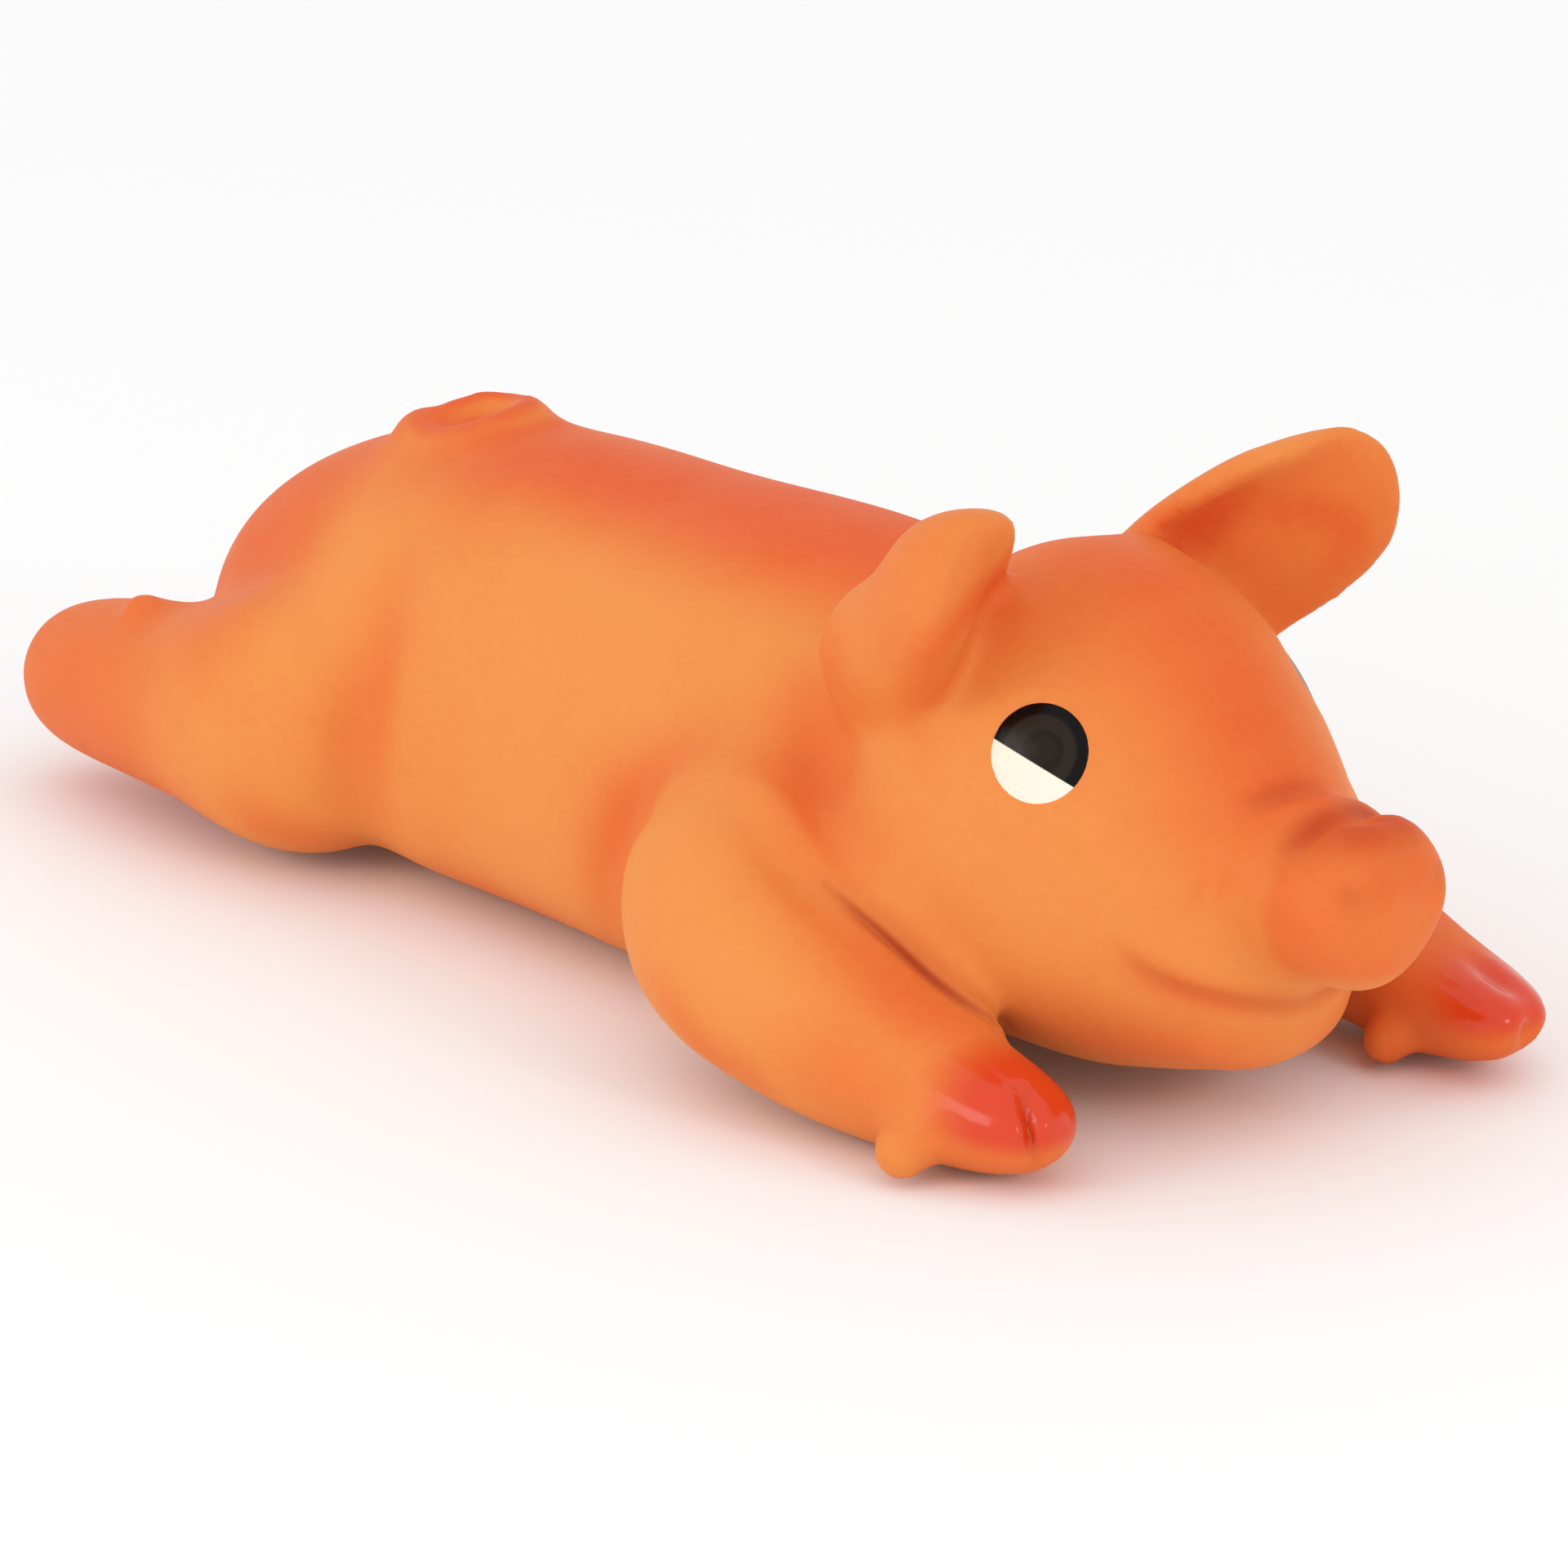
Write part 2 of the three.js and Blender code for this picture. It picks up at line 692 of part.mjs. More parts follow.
const tongueLevel = reedTop + voiceGap + reedTongueThickness / 2;
place('reed_tongue', slab(reedTongueLength, reedTongueWidth, reedTongueThickness, voiceX, 0, tongueLevel),
  metalFinish(0xc79a4b));
const clipLevel = tongueLevel + reedTongueThickness / 2 + voiceGap + reedClipThickness / 2;
place('reed_clip', slab(reedClipLength, reedClipWidth, reedClipThickness,
  voiceX - reedTongueLength / 2 + reedClipLength / 2, 0, clipLevel), whitePlastic());

export default group;
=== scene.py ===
"""A stuffed latex pig that squeaks, dressed over its CAD frame and set on a pale floor."""

import math

import bpy
import numpy as np
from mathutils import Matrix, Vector
from mathutils.bvhtree import BVHTree


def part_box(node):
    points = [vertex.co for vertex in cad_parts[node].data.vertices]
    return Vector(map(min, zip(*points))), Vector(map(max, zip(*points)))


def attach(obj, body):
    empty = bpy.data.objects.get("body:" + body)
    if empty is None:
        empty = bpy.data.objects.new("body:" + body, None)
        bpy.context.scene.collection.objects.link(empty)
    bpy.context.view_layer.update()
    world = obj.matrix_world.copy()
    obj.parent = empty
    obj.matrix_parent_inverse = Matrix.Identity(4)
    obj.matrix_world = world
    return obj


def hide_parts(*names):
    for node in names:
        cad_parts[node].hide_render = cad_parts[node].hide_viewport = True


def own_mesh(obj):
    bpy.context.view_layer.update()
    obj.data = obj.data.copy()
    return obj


bl_info = {
    "name": "Latex Pig Toy",
    "version": (1, 0, 0),
    "blender": (4, 5, 0),
    "location": "View3D > Sidebar > Pig Toy",
    "description": "Builds a soft latex pig, its stuffing and its voice unit over the frame",
    "category": "Add Mesh",
}

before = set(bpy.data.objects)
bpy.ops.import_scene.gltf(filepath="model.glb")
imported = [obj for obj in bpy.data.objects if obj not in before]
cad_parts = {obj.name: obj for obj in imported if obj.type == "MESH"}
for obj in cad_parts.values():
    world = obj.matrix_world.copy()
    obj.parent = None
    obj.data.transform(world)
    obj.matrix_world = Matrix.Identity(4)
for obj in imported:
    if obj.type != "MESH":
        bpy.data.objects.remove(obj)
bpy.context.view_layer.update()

MM = 0.001
LEFT = 1
RIGHT = -1
SIDES = (LEFT, RIGHT)

# The photograph's camera: its frame in pixels, and the view fitted to the pig's outline
PHOTO_SIDE = 1920
PHOTO_AZIMUTH = math.radians(50)
PHOTO_ELEVATION = math.radians(18.5)
PHOTO_DISTANCE = 1.1
PHOTO_TARGET = Vector((0.007, 0, 0.02))
PHOTO_LENS = 5.5
PHOTO_SHIFT = (21, 15)

# Lines of the photograph that the shape, the airbrushing and the painted shade follow, as pixels from its top
# left
NECK_CREASE = ((1046, 740), (1022, 796), (1004, 894), (1000, 960), (1022, 1041), (1065, 1108))
ARMPIT_CREASE = ((850, 915), (810, 945), (771, 995), (747, 1065), (748, 1150))
TOE_CLEFT = ((1250, 1332), (1258, 1362), (1264, 1398), (1266, 1428))
THIGH_CREASE = ((500, 665), (471, 771), (450, 870), (446, 960), (460, 1030))
CHEEK_CREASE = (
    (1010, 1084), (1044, 1112), (1085, 1146), (1120, 1178), (1154, 1207), (1196, 1236), (1243, 1262),
)
SHOULDER_FOLD = ((915, 950), (954, 985), (985, 1030), (1030, 1086), (1070, 1124))
SHOULDER_HOLLOW = ((930, 1015), (960, 1055), (1000, 1096), (1040, 1132))
FACE_CREASE = ((1680, 1000), (1636, 1000), (1602, 1019), (1568, 1052))
SNOUT_SIDE = ((1566, 1050), (1540, 1090), (1526, 1150))
UPPER_WRINKLE = ((1604, 968), (1564, 974), (1524, 990))
LOWER_WRINKLE = ((1500, 1066), (1480, 1092), (1464, 1122))
MOUTH_LINE = ((1371, 1166), (1405, 1192), (1445, 1210), (1500, 1224), (1560, 1230), (1618, 1226))
EYE_MIDDLE = (1272, 922)

# Lines along which the forms run into each other, with their reach in millimetres and their strength
MELTED = (
    (NECK_CREASE, 9, 1),
    (((790, 965), (840, 930), (900, 915), (960, 935), (1005, 985), (1036, 1045)), 8, 1),  # shoulder's top
    (((1122, 655), (1090, 720), (1068, 790), (1058, 850)), 6, 1),  # near ear's back
    (((990, 750), (1030, 745), (1070, 726), (1100, 700)), 8, 1),  # nape
    (((815, 945), (771, 995), (752, 1060), (758, 1130), (772, 1165)), 7.5, 0.9),  # shoulder's rear
    (((495, 680), (465, 780), (450, 870), (450, 960)), 9, 0.8),  # thigh's front
    (((300, 720), (400, 650)), 12, 1),  # rump
    (((500, 545), (560, 560), (640, 562), (695, 545)), 5, 0.6),  # tail's foot
    (((1590, 1050), (1556, 1100), (1562, 1150), (1600, 1192)), 6, 0.8),  # snout's side
    (((1010, 800), (1000, 770), (1012, 735), (1050, 700), (1080, 670)), 8, 1),  # web behind the ear
    (((1108, 1405),), 6, 0.2),  # near dewclaw
)

# Lines near which the skin's points are set closer, with their reach in millimetres and the cuts in each face
FINE_FOLDS = (
    ((CHEEK_CREASE,), 2.2, 3),
    ((TOE_CLEFT,), 2.5, 3),
    ((MOUTH_LINE, FACE_CREASE, UPPER_WRINKLE, LOWER_WRINKLE), 2.5, 1),
)

# Creases, with their width and depth in millimetres, and the share of the depth that their banks puff out
CREASED = (
    (NECK_CREASE, 3.8, 1.1, 0.35),
    (ARMPIT_CREASE, 3.0, 1.2, 0.35),
    (THIGH_CREASE, 4.5, 1.8, 0.35),
    (SHOULDER_FOLD, 2.2, -1.0, 0),
    (SHOULDER_HOLLOW, 3.4, 1.5, 0),
    (CHEEK_CREASE, 0.9, 1.5, 0.2),
    (FACE_CREASE, 2.6, 2.4, 0.35),
    (SNOUT_SIDE, 3.4, 0.4, 0.35),
    (UPPER_WRINKLE, 1.8, 0.9, 0.35),
    (LOWER_WRINKLE, 1.8, 0.9, 0.35),
    (MOUTH_LINE, 1.3, 0.8, 0.35),
)

# Lines that are airbrushed redder, or darkened with painted shade in creases, grooves and undersides, and
# lines darkened further with dark red painted shade, with their width in millimetres and their strength
AIRBRUSHED_AND_SHADED = (
    # painted shade in the groove at the near ear's foot
    (((1120, 880), (1150, 800), (1200, 730), (1260, 690), (1330, 700)), 5, 0.8),  # near ear's foot
    (((1596, 1040), (1645, 1020), (1690, 1016), (1730, 1030)), 7, 1),  # snout's top
    # painted shade on the near ear's edge, which turns away from the light
    (((1232, 672), (1226, 700), (1212, 735), (1184, 790)), 3.2, 0.7),  # near ear's edge
    # painted shade in the face crease and along the snout's side
    (FACE_CREASE, 5, 1),
    (SNOUT_SIDE, 4, 0.35),
    (((1700, 1036), (1738, 1070), (1740, 1120)), 9, 0.75),  # snout's far edge
    # painted shade in the neck, armpit, thigh and mouth creases, under the jaw, and on the foreleg's top,
    # which turns away
    (NECK_CREASE, 8, 0.6),
    (ARMPIT_CREASE, 6.5, 0.68),
    (THIGH_CREASE, 6, 0.45),
    (MOUTH_LINE, 3, 0.6),
    (((1290, 1262), (1360, 1275), (1440, 1285), (1520, 1300), (1580, 1290)), 7, 0.6),  # jaw
    (((990, 1110), (1070, 1180), (1150, 1250), (1210, 1290)), 8, 0.65),  # foreleg's top
    (((1000, 1290), (1060, 1330), (1120, 1370)), 10, 0.5),  # wrist
    (((500, 550), (580, 560), (660, 575), (740, 575)), 11, 0.75),  # round the tail
    # painted shade under the thigh, along the belly's edge and under the elbow
    (((290, 985), (340, 1015), (420, 1035), (470, 1040)), 5, 0.5),  # thigh's underside
    (((520, 1060), (620, 1100), (740, 1150)), 5, 0.45),  # belly's edge
    (((800, 1210), (860, 1280), (960, 1340)), 4, 0.45),  # elbow's underside
)
PAINTED_SHADE_LINES = (
    (CHEEK_CREASE, 0.7, 0.85),
    (CHEEK_CREASE, 2.4, 0.3),
    (FACE_CREASE, 2.2, 0.6),
    (UPPER_WRINKLE, 1.4, 0.3),
    (((1596, 1042), (1645, 1022), (1690, 1018), (1725, 1030)), 4, 0.42),  # snout's top
    (MOUTH_LINE, 1.2, 0.3),
    (((1652, 1097),), 1.8, 0.25),  # nostril
    # painted shadow that the snout casts on the far foreleg's inner dewclaw
    (((1700, 1272), (1712, 1292)), 5, 0.4),  # inner dewclaw
)


# Sizes and colours that a user would change

def length_property(name, description, length):
    return bpy.props.FloatProperty(name=name, description=description, default=length * MM, unit="LENGTH")


def colour_property(name, description, default):
    return bpy.props.FloatVectorProperty(
        name=name, description=description, default=default, size=4, subtype="COLOR", min=0, max=1
    )


class PigSizes(bpy.types.PropertyGroup):
    """Sizes of the pig's skin"""

    fineness: length_property("Skin fineness", "Spacing of the points on the skin's surface", 0.98)
    cleft_depth: length_property("Cleft depth", "Depth of the cleft between the two toes of a foot", 2.0)
    nostril_depth: length_property("Nostril depth", "Depth of the two nostrils in the snout", 1.6)
    eye_radius: length_property("Eye radius", "Radius of the enamelled disc of each eye", 6.1)
    squeezed_share: bpy.props.FloatProperty(
        name="Squeezed height",
        description="Height of the pig when it is fully squeezed, as a share of its height at rest",
        default=0.87,
        subtype="FACTOR",
    )


class PigColours(bpy.types.PropertyGroup):
    """Colours of the pig and of what is inside it"""

    latex: colour_property("Latex", "Light orange of the flanks", (0.835, 0.285, 0.068, 1))
    # This colour also serves as painted shade in creases, grooves and undersides
    airbrush: colour_property("Airbrush", "Redder orange of the back and the creases", (0.78, 0.11, 0.022, 1))
    trotter: colour_property("Trotter", "Glossy red of the front feet", (0.72, 0.045, 0.005, 1))
    # Painted shade: dark red darkening in the deepest creases, the nostrils, the toe cleft and on the far
    # foreleg
    crease: colour_property("Crease", "Dark red that gathers in the deepest creases", (0.4, 0.045, 0.01, 1))
    eye_black: colour_property("Eye black", "Dark part of the eyes", (0.003, 0.002, 0.002, 1))
    eye_iris: colour_property("Eye iris", "Brown disc within the dark part", (0.022, 0.014, 0.009, 1))
    eye_cream: colour_property("Eye cream", "Pale part of the eyes", (0.95, 0.9, 0.76, 1))
    wadding: colour_property("Wadding", "Polyester fibre", (0.85, 0.84, 0.8, 1))


def sizes():
    return bpy.context.scene.pig_sizes


def colours():
    return bpy.context.scene.pig_colours


# The photograph's camera as a ruler

def photo_axes():
    a, e = PHOTO_AZIMUTH, PHOTO_ELEVATION
    back = Vector((math.sin(a) * math.cos(e), -math.cos(a) * math.cos(e), math.sin(e)))
    right = Vector((math.cos(a), math.sin(a), 0))
    return back, right, back.cross(right)


def photo_ray(pixel):
    """Where a ray through a pixel of the photograph starts, and its direction."""
    back, right, up = photo_axes()
    focal = PHOTO_LENS * PHOTO_SIDE
    across = (pixel[0] - PHOTO_SIDE / 2 - PHOTO_SHIFT[0]) / focal
    down = (pixel[1] - PHOTO_SIDE / 2 - PHOTO_SHIFT[1]) / focal
    return PHOTO_TARGET + back * PHOTO_DISTANCE, (right * across - up * down - back).normalized()


# Forms: each swells and tapers along a smooth line through its stations

def smooth_through(rows, places):
    """Rows of values, read at places from 0 to 1 along them on a Catmull-Rom curve."""
    rows = np.asarray(rows, float)
    ends = np.vstack((2 * rows[0] - rows[1], rows, 2 * rows[-1] - rows[-2]))
    along = np.clip(places, 0, 1) * (len(rows) - 1)
    first = np.minimum(along.astype(int), len(rows) - 2)
    t = (along - first)[:, None]
    a, b, c, d = (ends[first + step] for step in range(4))
    return 0.5 * (2 * b + (c - a) * t + (2 * a - 5 * b + 4 * c - d) * t**2 + (3 * b - a - 3 * c + d) * t**3)


def unit_rows(rows):
    return rows / np.linalg.norm(rows, axis=1)[:, None]


def points_of(piece, kind="co"):
    """Where the points of a piece are, or their normals where that kind is asked for."""
    values = np.empty(len(piece.data.vertices) * 3)
    piece.data.vertices.foreach_get(kind, values)
    return values.reshape(-1, 3)


def move_points(piece, points):
    piece.data.vertices.foreach_set("co", np.ascontiguousarray(points).ravel())
    piece.data.update()


def added(name, add, **values):
    """A new object, from one of the operators that add them."""
    bpy.ops.object.select_all(action="DESELECT")
    add(**values)
    piece = bpy.context.object
    piece.name = name
    return piece


def new_ball(name, radius, sides, rings):
    add = bpy.ops.mesh.primitive_uv_sphere_add
    return added(name, add, segments=sides, ring_count=rings, radius=radius)


def superellipse(wave, fullness):
    return np.sign(wave) * np.abs(wave) ** (2 / fullness)


def swelling(
    name, stations, facing=(0, 0, 1), starts=3, ends=3, above=2, below=2, cup=(0, 0), sides=40, rings=40
):
    """A ball swollen onto stations of (x, y, z, half width, reach above, reach below) in millimetres.

    Its cup is how far its first and second edges are lifted.
    """
    piece = new_ball(name, 1, sides, rings)
    ball = points_of(piece)
    share = np.clip(ball[:, 2], -1, 1)
    angle = np.arctan2(ball[:, 1], ball[:, 0])
    place = (share + 1) / 2
    step = 1e-3
    middle = smooth_through(stations, place)
    ahead = smooth_through(stations, np.clip(place + step, 0, 1))
    behind = smooth_through(stations, np.clip(place - step, 0, 1))
    along = unit_rows(ahead[:, :3] - behind[:, :3])
    across = unit_rows(np.cross(np.asarray(facing, float), along))
    up = np.cross(along, across)
    power = np.where(share < 0, starts, ends)
    swell = (1 - np.abs(share) ** power) ** (1 / power)
    wide, high = np.cos(angle), np.sin(angle)
    reach = np.where(high > 0, middle[:, 4], middle[:, 5])
    fullness = np.where(high > 0, above, below)
    sideways = middle[:, 3] * superellipse(wide, fullness) * swell
    lift = np.where(wide < 0, *cup) * wide**2
    upwards = (reach * superellipse(high, fullness) + lift) * swell
    points = middle[:, :3] + across * sideways[:, None] + up * upwards[:, None]
    move_points(piece, points * MM)
    return piece


def mixed(low, high, share):
    return low + (high - low) * share


# Body, head and snout, in millimetres
SKIN_WALL = 2.2
SEAM = 0.3
GROUND_SINK = 0.5
FLANK_HEIGHT = 22
CHEEK_HEIGHT = 27
CHEEKS_IN = 1.5
CROWN_HEIGHT = 65
NAPE_X = 39
CHIN_X = 99.5
CHIN_CLEARANCE = 5
LIP_HEIGHT = 15
SNOUT_HEIGHT = 33.6
SNOUT_HALF_WIDTH = 12.4
SNOUT_HALF_HEIGHT = 10.9
NOSTRIL_SPACING = 10
# Place along the body, and shares of its half width, its height over the flanks and its depth under them
BODY_SHARES = (
    (0, 0.92, 0.89, 0.9), (0.25, 1, 0.99, 1), (0.5, 0.96, 1, 1), (0.75, 1, 1.075, 1), (1, 0.88, 1.075, 0.86),
)
# Place along the head, and shares of its half width, of the cheeks' and the crown's height and the jaw's drop
SKULL_SHARES = (
    (0, 0.85, 1, 0.97, 1),
    (0.25, 1, 1, 1.04, 0.8),
    (0.5, 0.88, 0.92, 0.98, 0.8),
    (0.75, 0.72, 0.78, 0.775, 0.55),
    (1, 0.52, 0.54, 0.56, 0.45),
)
# What is added to the snout's place, height, half width and reaches, at its root, waist and disc
SNOUT_ADDED = ((-22, 3, 5, 4, 5), (-5, 0.5, -0.2, -1.6, 1), (1.2, 0, 1, 1.8, 2.4))
# Place from the chin's front, half width and reach of the lower lip
LIP_STATIONS = ((-20, 14, 7.5), (-9, 14, 7.5), (0, 12.5, 6.5))


def body_sizes():
    """Rump, chest, half width and back height. The filling reaches the chest, which the head covers."""
    low, high = (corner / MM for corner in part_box("body_skin"))
    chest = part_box("body_filling")[1].x / MM + SKIN_WALL + SEAM
    return low.x, chest, high.y, high.z


def body_form():
    rump_x, chest_x, half_width, back_height = body_sizes()
    above, below = back_height - FLANK_HEIGHT, FLANK_HEIGHT + GROUND_SINK
    stations = [
        (mixed(rump_x, chest_x, along), 0, FLANK_HEIGHT, half_width * width, above * rise, below * drop)
        for along, width, rise, drop in BODY_SHARES
    ]
    return swelling("body_form", stations, starts=2.5, below=2.8, sides=64, rings=64)


def skull_form():
    half_width = body_sizes()[2] - CHEEKS_IN
    stations = []
    for along, width, level, crown, jaw in SKULL_SHARES:
        cheek = CHEEK_HEIGHT * level
        above, below = CROWN_HEIGHT * crown - cheek, cheek - CHIN_CLEARANCE * jaw
        stations.append((mixed(NAPE_X, CHIN_X, along), 0, cheek, half_width * width, above, below))
    return swelling("skull_form", stations, sides=56, rings=56)


def snout_front():
    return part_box("head_skin")[1].x / MM


def snout_form():
    half, tall = SNOUT_HALF_WIDTH, SNOUT_HALF_HEIGHT
    stations = [
        (start + place, 0, SNOUT_HEIGHT + lift, half + width, tall + above, tall + below)
        for start, (place, lift, width, above, below) in zip((CHIN_X, CHIN_X, snout_front()), SNOUT_ADDED)
    ]
    return swelling("snout_form", stations, ends=3.8, above=2.2, below=1.8)


def chin_form():
    """The lower lip, a rounded lobe under the snout."""
    stations = [(CHIN_X + back, 0, LIP_HEIGHT, width, reach, reach) for back, width, reach in LIP_STATIONS]
    return swelling("chin_form", stations, ends=3, above=2.6, sides=32, rings=32)


# Legs
SHOULDER_X = 22
SHOULDER_HEIGHT = 26
SHOULDER_RADIUS = 15.5
FOREFOOT_HEIGHT = 7.8
FOREFOOT_RADIUS = 10.2
HIP_X = -41
HIP_HEIGHT = 24.5
HIP_RADIUS = 18
KNEE_IN = 11.5
HINDFOOT_IN = 6.5
HINDFOOT_HEIGHT = 13.2
HINDFOOT_RADIUS = 11.3
# Each foreleg's tip, how far out of the flank it lies, its flatness and lift, its elbow's radius, and how
# far its shoulder is drawn forward and in
FORELEGS = {LEFT: (105.5, -1.5, 0.46, 0.8, 11.4, 0, 0), RIGHT: (96.3, 0.5, 0.74, -0.2, 12.8, 3, 1.2)}
# Front, middle and lift of each painted forefoot
FOREFEET = {LEFT: (116, 34, 1.0), RIGHT: (105.7, -36.5, 0)}
# Place and radius of each dewclaw
DEWCLAWS = (
    ((88.5, 43.2, 4), 3.4), ((89, 25.2, 4), 3.4), ((80.6, -46.2, 4.4), 4), ((80.5, -28, 4), 3),
    ((-90.5, 32.3, 28), 3.2), ((-90.5, -32.3, 28), 3.2),
)


def leg_station(x, y, level, radius, width=1, above=1):
    return (x, y, level, radius * width, radius * above, min(radius, level + GROUND_SINK))


def foreleg_form(side):
    half_width = body_sizes()[2]
    tip_x, tip_out, rise, lift, elbow, forward, inward = FORELEGS[side]
    root_x, tip_y = SHOULDER_X + forward, half_width + tip_out
    upper, middle, lower = (mixed(SHOULDER_X, tip_x, share) for share in (0.25, 0.5, 0.75))
    stations = [
        leg_station(root_x, side * (half_width - 4 - inward), SHOULDER_HEIGHT, SHOULDER_RADIUS, 0.93),
        leg_station(upper, side * (half_width + 5 - inward), 20.5, SHOULDER_RADIUS, 0.96, 0.93),
        leg_station(middle, side * (tip_y - 9.2 + elbow), 14, elbow, 1, 0.92),
        leg_station(lower, side * (tip_y + 1), 9.3 + lift / 2, 9.8, 1, (1 + rise) / 2),
        leg_station(tip_x, side * tip_y, FOREFOOT_HEIGHT + lift, FOREFOOT_RADIUS, 1, rise),
    ]
    return swelling("foreleg_form", stations, rings=44)


def hindleg_form(side):
    half_width = body_sizes()[2]
    foot_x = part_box("right_hind_leg")[0].x / MM
    foot_y = half_width - HINDFOOT_IN
    knee_y = half_width - KNEE_IN
    upper, middle, lower = (mixed(HIP_X, foot_x, share) for share in (0.25, 0.5, 0.75))
    stations = [
        leg_station(HIP_X, side * (knee_y - 2), HIP_HEIGHT, HIP_RADIUS, 0.9),
        leg_station(upper, side * (knee_y + 5), 20, 19, 0.9),
        leg_station(middle, side * (foot_y + 2), 17.6, 13.6),
        leg_station(lower, side * (foot_y + 1), 15.5, 11.9),
        leg_station(foot_x, side * foot_y, HINDFOOT_HEIGHT, HINDFOOT_RADIUS),
    ]
    return swelling("hindleg_form", stations, ends=4, rings=44)


def dewclaw_forms():
    """Bumps behind the toes of each foot, laid on the sides of the leg."""
    bumps = []
    for place, radius in DEWCLAWS:
        bump = new_ball("dewclaw_form", radius * MM, 20, 14)
        move_points(bump, points_of(bump) + np.array(place) * MM)
        bumps.append(bump)
    return bumps


# Ears, webs and tail
EAR_ROOT = (47.9, 19.3, 49.6)
EAR_RISE = (0.62, 0.36, 0.68)
EAR_FACING = (0.6, -0.65, -0.4)
EAR_HALF_WIDTH = 12.8
EAR_DROP = {LEFT: 1, RIGHT: 0}
# Length and bend of each ear, the lift of its two edges, its fullness and its tip's bluntness
EARS = {LEFT: (41.6, 1, (3, 5.5), 3, 3.4), RIGHT: (38.6, 0.5, (6.5, 2), 2.3, 2.7)}
# Place along each ear, share of its half width, half its thickness and its shift towards the upper edge
EAR_STATIONS = {
    LEFT: ((0, 1.05, 4.8, 0.7), (0.35, 1.02, 4.2, 0), (0.7, 0.95, 3.8, -1.3), (1, 0.6, 3.4, 0)),
    RIGHT: ((0, 0.8, 7.2, 0), (0.35, 0.86, 7, 0), (0.7, 0.9, 6.4, 0), (1, 0.74, 5.2, 0)),
}
# Soft webs between the shoulder and the neck, and between the nape and each ear's back
SHOULDER_WEB = (
    (12, 26, 31.5, 9, 8, 9), (28, 30, 31.5, 9, 8, 9), (44, 31, 29, 8, 7.5, 8),
    (60, 31, 22, 6.5, 5.5, 8), (72, 30.5, 15.5, 5.5, 4.5, 6), (80, 29.5, 11, 4, 3.5, 4.5),
)
EAR_WEB = {
    LEFT: ((37, 15, 44.5, 6.8, 8, 8), (47, 22, 51.5, 7.2, 6.4, 8), (58, 28, 59, 6.4, 4.8, 6)),
    RIGHT: (
        (40, -15.5, 46.5, 7.5, 7.5, 8), (48, -22, 52.5, 8.5, 8, 8),
        (56, -27, 60, 8, 7, 8), (61, -28.5, 67, 5.5, 4.5, 6),
    ),
}
TAIL_SEAT = (-58.6, 55.1)
TAIL_SINK = 0.8
TAIL_LOOP = 9.2
TAIL_TURNS = 1.15
TAIL_RADIUS = 3.8
TAIL_CLIMB = 1.8
TAIL_SAG = 0.012
TAIL_TILT = 0.12
TAIL_STEPS = 14


def mirrored(vector, side):
    return np.array((vector[0], side * vector[1], vector[2]), float)


def ear_axes(side):
    """Root of an ear, the way it rises, the way its hollow faces and the way its upper edge lies."""
    rise = mirrored(EAR_RISE, side) / np.linalg.norm(EAR_RISE)
    facing = mirrored(EAR_FACING, side)
    facing -= rise * np.dot(facing, rise)
    facing /= np.linalg.norm(facing)
    edge = side * np.cross(facing, rise)
    return mirrored(EAR_ROOT, side) - edge * EAR_DROP[side], rise, facing, edge


def ear_form(side):
    root, rise, facing, edge = ear_axes(side)
    length, bend, cup, full, ends = EARS[side]
    stations = []
    for along, width, half, shift in EAR_STATIONS[side]:
        middle = root + rise * length * along + facing * (bend * along**2) + edge * shift
        stations.append((*middle, EAR_HALF_WIDTH * width, half, half))
    return swelling("ear_form", stations, facing, ends=ends, above=full, below=full, cup=cup, sides=48)


def web_forms(side):
    shoulder = [(x, side * y, *rest) for x, y, *rest in SHOULDER_WEB]
    webs = (("shoulder_web", shoulder), ("ear_web", EAR_WEB[side]))
    return [swelling(name, stations, sides=32, rings=32) for name, stations in webs]


def tail_form():
    stations = []
    for step in range(TAIL_STEPS + 1):
        share = step / TAIL_STEPS
        angle = math.pi * (1 + 2 * TAIL_TURNS * share)
        loop = TAIL_LOOP * (1 - 0.5 * share)
        radius = TAIL_RADIUS * (1 - 0.4 * share)
        x = TAIL_SEAT[0] + loop * math.cos(angle)
        y = loop * math.sin(angle)
        tilt = TAIL_TILT * (y + x - TAIL_SEAT[0])
        z = TAIL_SEAT[1] - TAIL_SINK + TAIL_CLIMB * share - TAIL_SAG * y * y + tilt
        stations.append((x, y, z, radius, radius, radius))
    return swelling("tail_form", stations, starts=6, ends=4, sides=16, rings=80)


# Joining and finishing

def only(piece):
    bpy.ops.object.select_all(action="DESELECT")
    piece.select_set(True)
    bpy.context.view_layer.objects.active = piece


def joined(name, pieces):
    only(pieces[0])
    for piece in pieces:
        piece.select_set(True)
    bpy.ops.object.join()
    whole = bpy.context.object
    whole.name = whole.data.name = name
    return whole


def finished_with(piece, kind, **values):
    """Adds a modifier, sets its values and applies it."""
    only(piece)
    modifier = piece.modifiers.new(kind.title(), kind)
    for key, value in values.items():
        setattr(modifier, key, value)
    bpy.ops.object.modifier_apply(modifier=modifier.name)


def smooth(piece, rounds, factor=0.5, **values):
    finished_with(piece, "SMOOTH", factor=factor, iterations=rounds, **values)


def mode(kind):
    bpy.ops.object.mode_set(mode=kind)


def edited(piece, change):
    """Changes a piece in edit mode, with all of it selected."""
    only(piece)
    mode("EDIT")
    bpy.ops.mesh.select_all(action="SELECT")
    change()
    mode("OBJECT")


def dress(piece, material):
    piece.data.materials.clear()
    piece.data.materials.append(material)


